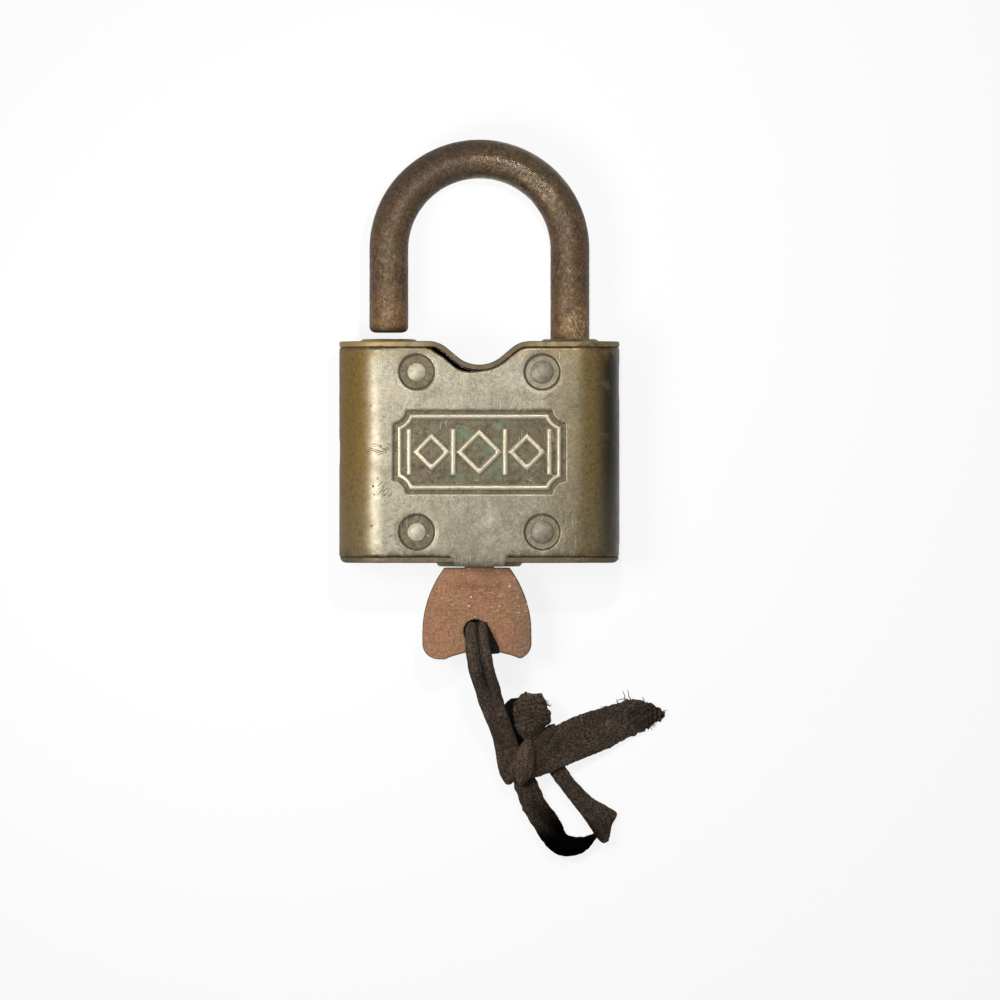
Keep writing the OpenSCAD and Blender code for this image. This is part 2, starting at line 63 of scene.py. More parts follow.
CASE_LOW, CASE_HIGH = box_mm("case_shell")
SHACKLE_LOW, SHACKLE_HIGH = box_mm("shackle")
CASE_T = CASE_HIGH[2] - CASE_LOW[2]
MID_Z = CASE_LOW[2] + CASE_T / 2
SHEET_TOP = CASE_HIGH[1]
SHEET_BOTTOM = -SHEET_TOP
TONGUE_END = CASE_LOW[1]

# Sizes that no box shows, as in the CAD source
SHEET_T = 1.4
CAP_TOP = SHEET_TOP + 1.15
TONGUE_W = 10.1

# ---------------------------------------------------------------- camera

VIEW_W = 203.0
VIEW_MIDDLE = (4.2, -9.75)
LENS, SENSOR = 400.0, 36.0
CLIP_END_M = 20.0
UP = np.array([0, 0, 1.0])


def add_object(name, data):
    """A new object in the scene."""
    piece = bpy.data.objects.new(name, data)
    bpy.context.scene.collection.objects.link(piece)
    return piece


def add_camera():
    """Looks straight down on the front face, with the shackle at the top of the view."""
    data = bpy.data.cameras.new("camera")
    data.lens = LENS
    data.sensor_width = SENSOR
    data.clip_end = CLIP_END_M
    camera = add_object("camera", data)
    height = CASE_T + VIEW_W * LENS / SENSOR
    camera.location = (VIEW_MIDDLE[0] * MM, VIEW_MIDDLE[1] * MM, height * MM)
    bpy.context.scene.camera = camera


add_camera()

# ---------------------------------------------------------------- noise and curves


def lattice(cell, seed):
    """A number from 0 to 1 for each lattice cell."""
    h = cell[..., 0] * 374761393 + cell[..., 1] * 668265263 + cell[..., 2] * 1442695041 + seed * 974634777
    h = (h ^ (h >> 13)) * 1274126177 & 0xFFFFFFFF
    h = (h ^ (h >> 15)) * 2246822519 & 0xFFFFFFFF
    return ((h ^ (h >> 16)) & 0xFFFF) / 65535.0


def noise3(points, size, seed=0):
    """Smooth noise from 0 to 1, with lumps of about the given size."""
    p = np.asarray(points, float) / size
    cell = np.floor(p).astype(np.int64)
    f = p - cell
    f = f * f * (3 - 2 * f)
    total = 0.0
    for corner in itertools.product((0, 1), repeat=3):
        near = np.where(corner, f, 1 - f)
        total = total + near[..., 0] * near[..., 1] * near[..., 2] * lattice(cell + corner, seed)
    return total


def fractal(points, size, octaves=3, seed=0):
    """Noise with finer lumps on it, from 0 to 1."""
    total, weight, most = 0.0, 1.0, 0.0
    for i in range(octaves):
        total = total + weight * noise3(points, size / 2**i, seed + i)
        most += weight
        weight *= 0.5
    return total / most


def smoothstep(low, high, x):
    """0 at low and 1 at high, with a soft start and end."""
    t = np.clip((x - low) / (high - low), 0, 1)
    return t * t * (3 - 2 * t)


def spline(points, step):
    """A Catmull-Rom curve through rows of numbers, cut into steps of about the given length."""
    p = np.asarray(points, float)
    p = np.vstack([2 * p[0] - p[1], p, 2 * p[-1] - p[-2]])
    rows = []
    for before, here, there, after in zip(p, p[1:], p[2:], p[3:]):
        count = max(2, math.ceil(np.linalg.norm((there - here)[:3]) / step))
        t = (np.arange(count) / count)[:, None]
        square = 2 * before - 5 * here + 4 * there - after
        cube = 3 * here - before - 3 * there + after
        rows.append(0.5 * (2 * here + (there - before) * t + square * t * t + cube * t**3))
    return np.vstack([*rows, p[-2]])


def unit(v):
    """Vectors of length 1."""
    v = np.asarray(v, float)
    return v / np.maximum(np.linalg.norm(v, axis=-1, keepdims=True), 1e-9)


# ---------------------------------------------------------------- mesh helpers


def set_values(mesh, name, values):
    """Stores a named number at each of the mesh's points."""
    layer = mesh.attributes.new(name, "FLOAT", "POINT")
    layer.data.foreach_set("value", np.asarray(values, np.float32))


def shade_smooth(mesh):
    """Hides the facets."""
    mesh.polygons.foreach_set("use_smooth", [True] * len(mesh.polygons))
    mesh.update()


def add_mesh(name, points_mm, faces, uv=None, values=None):
    """A mesh object from points in millimetres. values are named numbers at the points."""
    mesh = bpy.data.meshes.new(name)
    mesh.from_pydata((np.asarray(points_mm) * MM).tolist(), [], [list(map(int, f)) for f in faces])
    if uv is not None:
        layer = mesh.uv_layers.new(name="cloth")
        index = np.zeros(len(mesh.loops), int)
        mesh.loops.foreach_get("vertex_index", index)
        layer.data.foreach_set("uv", np.asarray(uv, np.float32)[index].ravel())
    for key, value in (values or {}).items():
        set_values(mesh, key, value)
    shade_smooth(mesh)
    return add_object(name, mesh)


def ring_faces(rings, sides):
    """Quads between rings of points, with an end face on each end."""
    faces = []
    for a in range(0, (rings - 1) * sides, sides):
        for k in range(sides):
            n = (k + 1) % sides
            faces.append((a + k, a + n, a + sides + n, a + sides + k))
    faces.append(tuple(range(sides - 1, -1, -1)))
    faces.append(tuple(range((rings - 1) * sides, rings * sides)))
    return faces


def join(parts):
    """One list of points, faces, uv and values from several (points, faces, uv, shade)."""
    points, faces, uv, shade, first = [], [], [], [], 0
    for p, f, u, s in parts:
        points.append(p)
        uv.append(u)
        shade.append(s)
        faces += [tuple(first + i for i in face) for face in f]
        first += len(p)
    return np.vstack(points), faces, np.vstack(uv), np.concatenate(shade)


# ---------------------------------------------------------------- cloth tape

TAPE_BODY = "key"
TAPE_CLEARANCE = 0.12
UV_PER_MM = 0.1

# How a strip's section is cut: places across it, more of them at its seam, and the step along it
STRIP_COLUMNS = 22
SEAM_COLUMNS = np.array([-0.09, -0.045, -0.015, 0.015, 0.045, 0.09])
STRIP_STEP = 0.22


def columns(seam):
    """Places across a strip, from -1 to 1 in one row, closer together at the edges and the seam."""
    across = np.sin(np.linspace(-math.pi / 2, math.pi / 2, STRIP_COLUMNS))
    if seam is not None:
        across = np.sort(np.concatenate([across, seam + SEAM_COLUMNS]))
    return across[None, :]


def round_top(across, apart, seam):
    """Heights from 0 to 1 of one round top, and of a top that the seam parts in two."""
    single = np.sqrt(np.maximum(1 - np.abs(across) ** 2.6, 0))
    mark = 0.0 if seam is None else seam
    left = np.sqrt(np.maximum(1 - ((across - (mark - 1) / 2) / ((mark + 1) / 2)) ** 2, 0))
    right = np.sqrt(np.maximum(1 - ((across - (mark + 1) / 2) / ((1 - mark) / 2)) ** 2, 0))
    return single, single * (1 - apart) + np.where(across < mark, left, right) * apart


def strip(stations, thick, crown=0.0, seam=None, ragged=0.12, wrinkle=0.14, ribs=0.05, seed=0, v_start=0.0,
          painted_light=0.5, ridges=None):
    """A soft strip of tape between two edges.

    A station is left x, y, z and right x, y, z, and how far a seam parts it into two round strands.
    thick, crown, how far the middle stands above the edges, and ragged are one number or one per station.
    ridges is (height, spacing, reach from the end, bend): the frayed cloth's curved ribs.
    tone paints light and shade on the cloth: 0 paints it near-black as painted shade, 0.5 leaves it plain,
    and more paints a highlight.
    """
    rows = np.asarray(stations, float)
    count = len(rows)
    extra = np.stack([np.broadcast_to(v, count) for v in (thick, crown, ragged)], axis=1)
    if rows.shape[1] == 6:
        rows = np.hstack([rows, np.zeros((count, 1))])
    rows = spline(np.hstack([rows, extra]), STRIP_STEP)
    left, right, apart = rows[:, 0:3], rows[:, 3:6], np.clip(rows[:, 6:7], 0, 1)
    thickness, rise, ragged = rows[:, 7:8], rows[:, 8:9], rows[:, 9:10]
    centre, half = (left + right) / 2, (right - left) / 2
    along = np.concatenate([[0], np.cumsum(np.linalg.norm(np.diff(centre, axis=0), axis=1))])[:, None]
    normal = unit(np.cross(half, unit(np.gradient(centre, axis=0))))
    normal = normal * np.sign(normal[:, 2:3] + 1e-9)
    width = np.linalg.norm(half, axis=1)[:, None]
    across = columns(seam)
    single, top = round_top(across, apart, seam)
    # ragged edges, each side on its own
    run = np.hstack([along, np.full_like(along, 3.0 + seed), np.zeros_like(along)])
    rough = []
    for side_seed in (seed, seed + 7):
        coarse, fine = fractal(run, 2.2, 3, side_seed), fractal(run, 0.5, 2, side_seed + 3)
        rough.append(((coarse - 0.5) * 2 + fine - 0.5)[:, None] * ragged)
    stretch = 1 + np.where(across < 0, *rough) * np.abs(across) / np.maximum(width, 0.5)
    # the cloth's own small folds and grain run along the strip
    x = across * width
    marks = np.stack([np.broadcast_to(along / 4, x.shape), x + seed * 13, np.zeros_like(x)], axis=-1)
    grain = np.stack([np.broadcast_to(along, x.shape), x * 1.6, np.full_like(x, seed)], axis=-1)
    folds = (fractal(marks, 1.0, 3, seed + 11) - 0.5) * 2 * wrinkle
    folds = folds + (fractal(grain, 0.42, 2, seed + 17) - 0.5) * 2 * ribs
    if ridges is not None:
        high, spacing, reach, bend = ridges
        wave = np.sin(2 * math.pi * (along + bend * x * x + 1.6 * folds) / spacing)
        folds = folds + high * wave * smoothstep(along[-1] - reach, along[-1] - reach / 3, along)
    lift = rise * (1 - across**2)

    def surface(height, share):
        """Points at a height above the strip's middle, which follow a share of the crown."""
        place = centre[:, None, :] + (x * stretch)[..., None] * unit(half)[:, None, :]
        return place + height[..., None] * normal[:, None, :] + share * lift[..., None] * UP

    upper = surface(thickness / 2 * top + folds * (0.35 + 0.65 * top), 1.0)
    lower = surface(-thickness / 2 * single, 0.8)
    points = np.concatenate([upper, lower[:, -2:0:-1]], axis=1)
    u = np.concatenate([x, x[:, -2:0:-1]], axis=1)
    uv = np.stack([u, np.broadcast_to(along + v_start, u.shape)], axis=-1).reshape(-1, 2) * UV_PER_MM
    # painted shade and highlight: darker on the underside, in the hollows of the folds and along the seam,
    # lighter on the tops of the folds
    shade = np.full(u.shape, painted_light * 0.8)
    shade[:, : across.size] = np.clip(folds / wrinkle * 0.35 + painted_light - 0.5 * apart * (1 - top), 0, 1)
    return points.reshape(-1, 3), ring_faces(len(rows), points.shape[1]), uv, shade.ravel()


# Every stretch of the tape, and two near-black strips of painted shade, as left and right edges in
# millimetres

FRONT_STRAND = [
    (-2.7, -35.9, 9.2, 1.6, -35.2, 9, 1), (-2.9, -36.8, 11, 1.8, -36.4, 11.2, 1),
    (-2.8, -38.8, 12.6, 2.1, -38.4, 12.9, 1), (-2.7, -41.4, 13, 2.5, -41.2, 13.4, 1),
    (-2, -45.1, 12.4, 3.2, -44.6, 12.6, 0.95), (-0.8, -48.9, 10.8, 4.2, -47.7, 11, 0.55),
    (-0.2, -51.2, 9.6, 4.7, -50, 9.8, 0.15), (0.7, -53.4, 8.4, 5.3, -52.2, 8.6, 0),
    (2.2, -57, 6.9, 6.7, -56, 7.2, 0), (3.1, -60.2, 5.8, 7.8, -59.4, 6.2, 0),
    (3.6, -63.2, 4.6, 8, -63, 5.4, 0), (4.2, -65.6, 3.4, 7.6, -65.8, 4.2, 0),
    (5.2, -67, 2.2, 7, -67.2, 2.8, 0),
]
BACK_STRAND = [
    (-3.2, -33.6, 7, 2, -33, 7), (-3.3, -35.4, 6.9, 2.2, -34.8, 6.9), (-3.2, -37.6, 6.4, 2.2, -37.2, 6.4),
    (-2.2, -41, 5.4, 1.9, -40.4, 5.4), (-1.4, -45, 4.6, 2.8, -44, 4.6), (0.6, -50.6, 3.4, 4.6, -49.6, 3.4),
    (2.8, -56, 2.4, 6.4, -55, 2.4), (4.4, -61, 1.9, 8, -60, 1.9),
]
WRAP = [
    (9.6, -58.6, 3.6, 10.8, -58.8, 3.4), (8.5, -59.6, 5.8, 11, -60.2, 5.2),
    (7.6, -61.4, 6.8, 11.2, -62.2, 6), (7.1, -63.6, 6.9, 11.1, -64.2, 6), (7.1, -65.4, 6, 10.5, -66, 5.1),
    (7.5, -66.7, 4.4, 9.6, -67.1, 3.9), (8, -67.2, 2.6, 8.9, -67.5, 2.4),
]
WRAP_EDGE = [
    (7.6, -60.2, 4.8, 8.8, -60.2, 5), (6.6, -62, 5.7, 8.4, -62.2, 6.2), (6.1, -64.2, 5.5, 8, -64.4, 6),
    (6.3, -66, 4.5, 7.9, -66.2, 4.7), (6.9, -67, 2.8, 8, -67.2, 2.8),
]
SHORT_TAIL = [
    (9.8, -60, 3, 10.8, -59.8, 3), (9, -58.6, 4.4, 12, -58, 4.2), (7.9, -57, 5.2, 13.3, -56.4, 4.8),
    (7.2, -55, 5.8, 14.5, -55, 5.1), (6.8, -52.8, 6.2, 14.5, -53.2, 5.4), (7, -51.2, 6.4, 13.9, -51.6, 5.6),
    (7.7, -50.2, 6.3, 13.1, -50.3, 5.6), (8.4, -49.7, 5.8, 12.5, -49.6, 5.2),
]
# painted shadow: a near-black strip lying on the key beside the front strand, where the strand's shadow falls
STRAND_SHADE = [
    (-0.6, -34.8, 10.3, 1.5, -34.6, 10.2), (0.4, -37.4, 10.6, 2.7, -37.2, 10.3),
    (1.4, -39.9, 10.6, 3.9, -39.7, 10.3), (1.9, -41.2, 10.5, 4.1, -41, 10.3),
]
# painted shade: a near-black strip low under the knot, filling the dark gap between the short tail and the
# strand
KNOT_SHADE = [
    (8, -60.6, 1.8, 11, -60, 1.8), (6.6, -57.6, 2.4, 11.4, -57, 2.4), (5.4, -54, 2.8, 11, -54, 2.8),
    (5.2, -51.6, 3, 10.4, -51.4, 3), (6.4, -50.3, 3, 9.6, -50, 3),
]
LONG_TAIL = [
    (8.4, -60.6, 3.6, 8, -65.8, 3.8), (11.4, -58.2, 4.2, 10.6, -66.6, 4.3),
    (14.3, -56.3, 3.9, 13.8, -65.7, 4.1), (17.2, -55, 3, 17.3, -64.2, 3.5),
    (20.4, -53.6, 2, 21.2, -62.7, 2.6), (24.8, -52.3, 1.3, 26, -60.7, 1.5), (28, -51.3, 1, 29.8, -58.9, 1),
    (31.2, -50.4, 1, 33, -57.5, 0.9), (34.2, -50.9, 1, 35, -56.3, 0.9), (36.2, -51.9, 0.9, 36.5, -54.9, 0.8),
    (37.9, -53, 0.8, 37.9, -53.7, 0.7),
]
TAIL_FOLD = [
    (10.4, -58.8, 3.8, 9.6, -61.6, 4.2), (11.4, -57.6, 4.7, 11.2, -62, 5),
    (12.6, -56.6, 4.9, 12.6, -60.8, 5.1), (13.9, -55.8, 4.6, 14.1, -58.8, 4.8),
    (15.3, -55.5, 3.9, 15.6, -56.8, 4),
]
LEFT_LIMB = [
    (6.6, -65.6, 2.4, 11, -64.4, 2.2), (6.9, -67.7, 2.6, 11.5, -66.6, 2.2),
    (7.8, -70.4, 2.8, 12.6, -69.2, 2), (8.8, -73, 2.9, 14, -71.9, 1.8), (10.2, -75.3, 2.9, 15.7, -73.9, 1.5),
    (12, -78.2, 2.8, 16.9, -76.1, 1.3), (14, -80.9, 2.6, 17.6, -77.7, 1.3),
    (16.6, -82.5, 2.3, 18.6, -78.4, 1.4), (19.5, -82.5, 2, 20.2, -78.6, 1.7),
    (21.9, -81.3, 1.8, 21.8, -78.4, 1.9), (23.6, -79.4, 1.8, 23.5, -77.9, 2),
    (24.6, -77.9, 1.9, 24.6, -77.2, 2.1),
]
RIGHT_LIMB = [
    (12.6, -62, 1.8, 15.2, -61, 1.8), (14, -65.1, 2.1, 17.2, -63.8, 1.8),
    (15.2, -66.8, 2.2, 18.9, -66.2, 1.8), (16.9, -69.1, 2.3, 20.7, -68.4, 1.7),
    (19.4, -72.4, 2.5, 23, -70.5, 1.7), (21.6, -75.2, 2.6, 25.3, -72.4, 1.9),
    (23.1, -77.5, 2.5, 26.6, -74.6, 2.4), (24.3, -79.2, 2.2, 26.6, -77.2, 2.3),
    (25.3, -79.9, 1.9, 26.5, -79.3, 2),
]
BOW_FLAP = [
    (23, -70.8, 1.4, 24, -71.2, 1.4), (23.8, -72.6, 1.4, 26, -72.3, 1.3), (24.6, -75, 1.4, 28.1, -73.9, 1),
    (25.2, -77.2, 1.4, 27.1, -76.2, 0.9), (25.8, -79, 1.4, 26.6, -78.8, 1),
]


def tape_parts():
    """Every stretch of the tape: loop, tails, bow and the turns of the knot, and two near-black strips of
    painted shade beside the strand and under the knot.
    """
    return [
        strip(FRONT_STRAND, 2.4, seam=0.12, seed=1, wrinkle=0.16, ragged=0.08),
        strip(BACK_STRAND, 1.8, seed=2, v_start=35),
        # painted highlight: the knot's wrap painted light
        strip(WRAP, 1.7, 0.7, seed=3, wrinkle=0.34, painted_light=0.9, v_start=70),
        strip(WRAP_EDGE, 1.5, 0.4, seed=4, wrinkle=0.26, painted_light=0.6, v_start=85),
        strip(SHORT_TAIL, 2.0, [0.3, 0.6, 1.2, 1.6, 1.7, 1.5, 1.2, 0.9], seed=5, wrinkle=0.5, ragged=0.45,
              ribs=0.16, painted_light=0.65, v_start=100, ridges=(0.4, 0.95, 9.0, 0.14)),
        strip(KNOT_SHADE, 1.8, 0.2, seed=6, wrinkle=0.2, ragged=0.2, painted_light=0.0, v_start=115),
        strip(STRAND_SHADE, 0.5, seed=14, wrinkle=0.1, ragged=0.1, painted_light=0.0, v_start=120),
        strip(LONG_TAIL, [1.5, 1.4, 1.2, 1.0, 0.9, 0.8, 0.8, 0.8, 0.8, 0.7, 0.5],
              [0.3, 0.3, 0.2, 0.15, 0.1, 0.1, 0.1, 0.2, 0.3, 0.3, 0.2], seed=7, wrinkle=0.2,
              ragged=[0.2, 0.2, 0.2, 0.2, 0.2, 0.25, 0.35, 0.5, 0.8, 0.9, 0.7], ribs=0.14, v_start=130,
              ridges=(0.24, 0.9, 6.0, 0.12)),
        strip(TAIL_FOLD, 0.9, 0.2, seed=8, wrinkle=0.16, v_start=165),
        strip(LEFT_LIMB, 1.5, [0.6, 0.6, 0.6, 0.6, 0.5, 0.4, 0.3, 0.2, 0.2, 0.1, 0, 0], seed=9,
              wrinkle=0.18, ragged=0.22, v_start=180),
        strip(RIGHT_LIMB, 1.4, [0.3, 0.4, 0.4, 0.4, 0.3, 0.3, 0.2, 0.1, 0], seed=10,
              wrinkle=0.16, v_start=215),
        strip(BOW_FLAP, 0.9, 0.1, seed=12, wrinkle=0.12, v_start=240),
    ]


THREAD_STEPS, THREAD_SIDES = 9, 5
THREAD_CLEARANCE = 0.25
THREAD_UV, THREAD_SHADE = (0.3, 0.4), 0.6
UPPER_CUT_THREADS, LOWER_CUT_THREADS, SHORT_TAIL_THREADS = 150, 60, 120
# Starts, headings in degrees and lengths of the few long threads on the long tail's upper edge
LONG_THREADS = [
    ((30.2, -51.0, 1.0), 118, 2.6), ((30.7, -50.8, 1.0), 142, 3.2), ((31.2, -50.8, 1.0), 128, 2.6),
    ((28.4, -51.6, 1.0), 120, 1.2), ((26.4, -52.0, 1.0), 165, 1.8), ((33.6, -51.0, 0.9), 60, 1.2),
]


def fibre(start, degrees, rise, length, radius, wander):
    """One loose thread, as a thin tube that sets out at an angle and a rise and wanders."""
    angle = math.radians(degrees)
    p, d = np.array(start, float), unit((math.cos(angle), math.sin(angle), rise))
    line = [p.copy()]
    for _ in range(THREAD_STEPS):
        d = unit(d + np.array([rng.uniform(-1, 1), rng.uniform(-1, 1), rng.uniform(-0.5, 0.5)]) * wander)
        p = p + d * length / THREAD_STEPS
        p[2] = max(p[2], THREAD_CLEARANCE)
        line.append(p.copy())
    line = np.array(line)
    ahead = unit(np.gradient(line, axis=0))
    wide = unit(np.cross(ahead, (0.1, 0.2, 1)))
    thick = np.cross(wide, ahead)
    taper = radius * np.linspace(1, 0.4, len(line))[:, None]
    around = [2 * math.pi * k / THREAD_SIDES for k in range(THREAD_SIDES)]
    points = np.stack([line + taper * (math.cos(a) * wide + math.sin(a) * thick) for a in around], axis=1)
    points = points.reshape(-1, 3)
    return (points, ring_faces(len(line), THREAD_SIDES), np.tile(THREAD_UV, (len(points), 1)),
            np.full(len(points), THREAD_SHADE))


def fray_parts():
    """Loose threads at the tape's two cut ends and a few along its edges."""
    threads = []

    def add(start, lean, spread, rise, length, radius, wander):
        """A thread with a chance angle about lean, and each pair's number by chance."""
        angle = rng.gauss(lean, spread)
        chance = [rng.uniform(*pair) for pair in (rise, length, radius)]
        threads.append(fibre(start, angle, *chance, wander))

    for _ in range(UPPER_CUT_THREADS):
        # across the slanted cut of the long tail, from its upper corner to its tip
        t = rng.random()
        x, y = 30.0 + 7.0 * t + rng.uniform(-0.6, 0.2), -51.2 - 2.2 * t**2 + rng.uniform(-0.5, 0.2)
        add((x, y, rng.uniform(0.5, 1.1)), 60 - 55 * t, 28, (-0.1, 0.3), (0.4, 1.3), (0.06, 0.12), 0.42)
    for _ in range(LOWER_CUT_THREADS):
        # up the short lower side of that cut
        t = rng.random()
        start = (34.5 + 3.0 * t, -56.4 + 3.4 * t, rng.uniform(0.4, 0.9))
        add(start, 5, 30, (-0.1, 0.2), (0.4, 1.2), (0.05, 0.08), 0.4)
    for _ in range(SHORT_TAIL_THREADS):
        # the short tail's end
        t = rng.uniform(-1, 1)
        start = (10.7 + 3.4 * t, -50.3 - 1.6 * t * t, rng.uniform(3.9, 5.2))
        add(start, 90 - 38 * t, 26, (-0.4, 0.3), (0.4, 1.3), (0.05, 0.09), 0.5)
    for start, angle, length in LONG_THREADS:
        threads.append(fibre(start, angle, 0.2, length, 0.13, 0.38))
    return threads


def add_tape():
    """The tape and its loose threads, which ride on the key."""
    points, faces, uv, shade = join(tape_parts())
    points[:, 2] = np.maximum(points[:, 2], TAPE_CLEARANCE)
    tape = add_mesh("cloth_tape", points, faces, uv, {"shade": shade})
    points, faces, uv, shade = join(fray_parts())
    fray = add_mesh("tape_fray", points, faces, uv, {"shade": shade})
    for piece in (tape, fray):
        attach(piece, TAPE_BODY)
    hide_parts("tape_short_tail", "tape_loop", "tape_bow", "tape_long_tail", "tape_knot")
    return tape, fray


tape, fray = add_tape()

# ---------------------------------------------------------------- materials

# A Mix node's colour sockets, by number, because its names repeat
MIX_A, MIX_B, MIX_RESULT = 6, 7, 2

# Where a look starts and where it is full, in millimetres along X or Y
GOLDEN_X, HIGHLIGHT_SHADE_X, OLIVE_X, BROWN_X, FAR_RIGHT_SHADE_X = (-20.2, -23.2), (-18.8, -21), (8, 20), (19, 22.5), (23, 26.6)
FACE_X, STAINED_X, PITTED_X = (21, 17), (17, 21), (-16, -24)
FACE_TOP_Y, FACE_DARK_Y, FOOT_Y, FOOT_GREEN_Y = (17.5, 21), (2, -18), (-18.8, -21.4), (-18.5, -22.5)
CAP_TOP_Y, CAP_FOOT_Y, CAP_NOTCH_X, CAP_GOLDEN_X = (0, 5), (0, -5), (13, 8), (-14, -20)
BEND_DARK_X, BEND_DARK_Y, LEG_RUST_Y = (4, -6), (44, 58), (36, 25)
TOE_DARK_X, TOE_DARK_Y = (0, -5), (26.3, 25.5)
KEY_DARKER_X, KEY_TOP_Y, KEY_PAINTED_LIGHT_Y, KEY_WORN_Y = (4, 10), (-25.2, -23.4), (-28.5, -25), (-38, -32)
LIMB_Y, LIMB_SHADE_Y, TAPE_BEND_X, TAPE_BEND_Y = (-67, -69), (-68, -77.5), (26, 23), (-73.5, -79.5)
# Across the bow's left limb, which leans by this much from this height on
LIMB_LEAN, LIMB_START_Y, LIMB_OUTER, LIMB_INNER = -0.62, -66.0, (13.2, 10.6), (5.0, 9.2)
# Soft oval spots as middle x, middle y, half x, half y
SCUFF_SPOT, DASH_SPOT = (-20.0, 0.6, 4.4, 1.3), (-19.2, -8.0, 1.8, 2.6)
LEG_FOOT_SPOT, RUBBED_SPOT = (20.5, 25.5, 3.0, 4.5), (8.5, 57.0, 12.0, 8.0)
TORN_SPOT = (34.6, -54.0, 5.0, 3.4)
RIBS_PER_CM, PICKS_PER_CM = 20, 24


def rgb(*seen):
    """A colour as seen, from 0 to 255, as the linear values that a shader takes."""
    shares = [c / 255 for c in seen]
    return (*(c / 12.92 if c <= 0.04045 else ((c + 0.055) / 1.055) ** 2.4 for c in shares), 1.0)


def add_node(tree, kind, inputs=None, **settings):
    """A shader node with its settings, and its inputs as plain values or as sockets to link."""
    node = tree.nodes.new(kind)
    for name, value in settings.items():
        setattr(node, name, value)
    for name, value in (inputs or {}).items():
        if isinstance(value, bpy.types.NodeSocket):
            tree.links.new(value, node.inputs[name])
        else:
            node.inputs[name].default_value = value
    return node


class Finish:
    """Builds one material's nodes. Sizes are in millimetres."""

    def __init__(self, name):
        self.material = bpy.data.materials.new(name)
        self.material.use_nodes = True
        self.tree = self.material.node_tree
        self.tree.nodes.clear()
        self.place = self.node("ShaderNodeTexCoord").outputs["Object"]
        self.colour = None

    def node(self, kind, inputs=None, **settings):
        """A new node of this material."""
        return add_node(self.tree, kind, inputs, **settings)

    def stretched(self, size, turn=0.0):
        """Coordinates in which noise of size 1 is as wide as one size, or three, and is turned about Z."""
        three = size if isinstance(size, tuple) else (size, size, size)
        turned = (0, 0, math.radians(turn))
        inputs = {"Vector": self.place, "Rotation": turned, "Scale": [s * MM for s in three]}
        return self.node("ShaderNodeMapping", inputs, vector_type="TEXTURE").outputs["Vector"]

    def noise(self, size, detail=4.0, roughness=0.55, distortion=0.0, turn=0.0, seed=0.0):
        """Noise from 0 to 1."""
        inputs = {"Vector": self.stretched(size, turn), "W": seed, "Scale": 1.0}
        inputs |= {"Detail": detail, "Roughness": roughness, "Distortion": distortion}
        return self.node("ShaderNodeTexNoise", inputs, noise_dimensions="4D").outputs["Fac"]

    def cells(self, size, seed=0.0):
        """Distance to the nearest of many scattered points, in cell widths."""
        inputs = {"Vector": self.stretched(size), "W": seed, "Scale": 1.0}
        return self.node("ShaderNodeTexVoronoi", inputs, voronoi_dimensions="4D").outputs["Distance"]

    def between(self, value, low, high, to_low=0.0, to_high=1.0):
        """value moved from low..high to to_low..to_high, smoothly and clamped."""
        inputs = {"Value": value, "From Min": low, "From Max": high, "To Min": to_low, "To Max": to_high}
        return self.node("ShaderNodeMapRange", inputs, interpolation_type="SMOOTHSTEP").outputs["Result"]

    def patches(self, low, high, *noise, **named):
        """1 where the noise is past high, 0 where it isn't yet at low."""
        return self.between(self.noise(*noise, **named), low, high)

    def math(self, operation, a, b=0.0):
        """One step of reckoning."""
        return self.node("ShaderNodeMath", {0: a, 1: b}, operation=operation).outputs[0]

    def fold(self, operation, values):
        """The values taken together, one after the other."""
        result = values[0]
        for value in values[1:]:
            result = self.math(operation, result, value)
        return result

    def times(self, *values):
        """The product of the values."""
        return self.fold("MULTIPLY", values)

    def plus(self, *values):
        """The sum of the values."""
        return self.fold("ADD", values)

    def minus(self, *values):
        """The first value less the others."""
        return self.fold("SUBTRACT", values)

    def most(self, *values):
        """The largest of the values."""
        return self.fold("MAXIMUM", values)

    def mix(self, amount, a, b, how="MIX"):
        """Colour a, and as much of colour b as amount says."""
        inputs = {"Factor": amount, MIX_A: a, MIX_B: b}
        return self.node("ShaderNodeMix", inputs, data_type="RGBA", blend_type=how).outputs[MIX_RESULT]

    def paint(self, seen, *masks):
        """Paints over the colour, as much as the product of the masks says."""
        self.colour = self.mix(self.times(*masks), self.colour, rgb(*seen))

    def shade(self, shades):
        """Multiplies the colour by another."""
        self.colour = self.mix(1.0, self.colour, shades, "MULTIPLY")

    def mottle(self, size, low, high, seed):
        """Darkens and lightens the colour in fine grains."""
        grain = self.noise(size, 3, 0.75, seed=seed)
        self.shade(self.ramp(grain, (0.34, (low, low, low, 1)), (0.66, (high, high, high, 1))))

    def ramp(self, value, *stops):
        """A colour from stops of (place, colour)."""
        node = self.node("ShaderNodeValToRGB", {"Fac": value})
        points = node.color_ramp.elements
        while len(points) < len(stops):
            points.new(0.5)
        for point, (place, colour) in zip(points, stops):
            point.position = place
            point.color = colour
        return node.outputs["Color"]

    def tones(self, value, *stops):
        """A colour from stops of a place and a colour from 0 to 255."""
        return self.ramp(value, *((place, rgb(*seen)) for place, *seen in stops))

    def absolute(self, value):
        """The value without its sign."""
        return self.math("ABSOLUTE", value)

    def axis(self, name):
        """The object's own X, Y or Z in millimetres."""
        return self.math("DIVIDE", self.node("ShaderNodeSeparateXYZ", {0: self.place}).outputs[name], MM)

    def value(self, name):
        """A number stored at the mesh's points."""
        return self.node("ShaderNodeAttribute", attribute_name=name).outputs["Fac"]

    def bump(self, height, depth_mm, *normal):
        """The surface's tilt where a height of 1 is depth_mm, on top of another tilt if one is given."""
        inputs = {"Distance": depth_mm * MM, "Height": height} | {"Normal": under for under in normal}
        return self.node("ShaderNodeBump", inputs).outputs["Normal"]

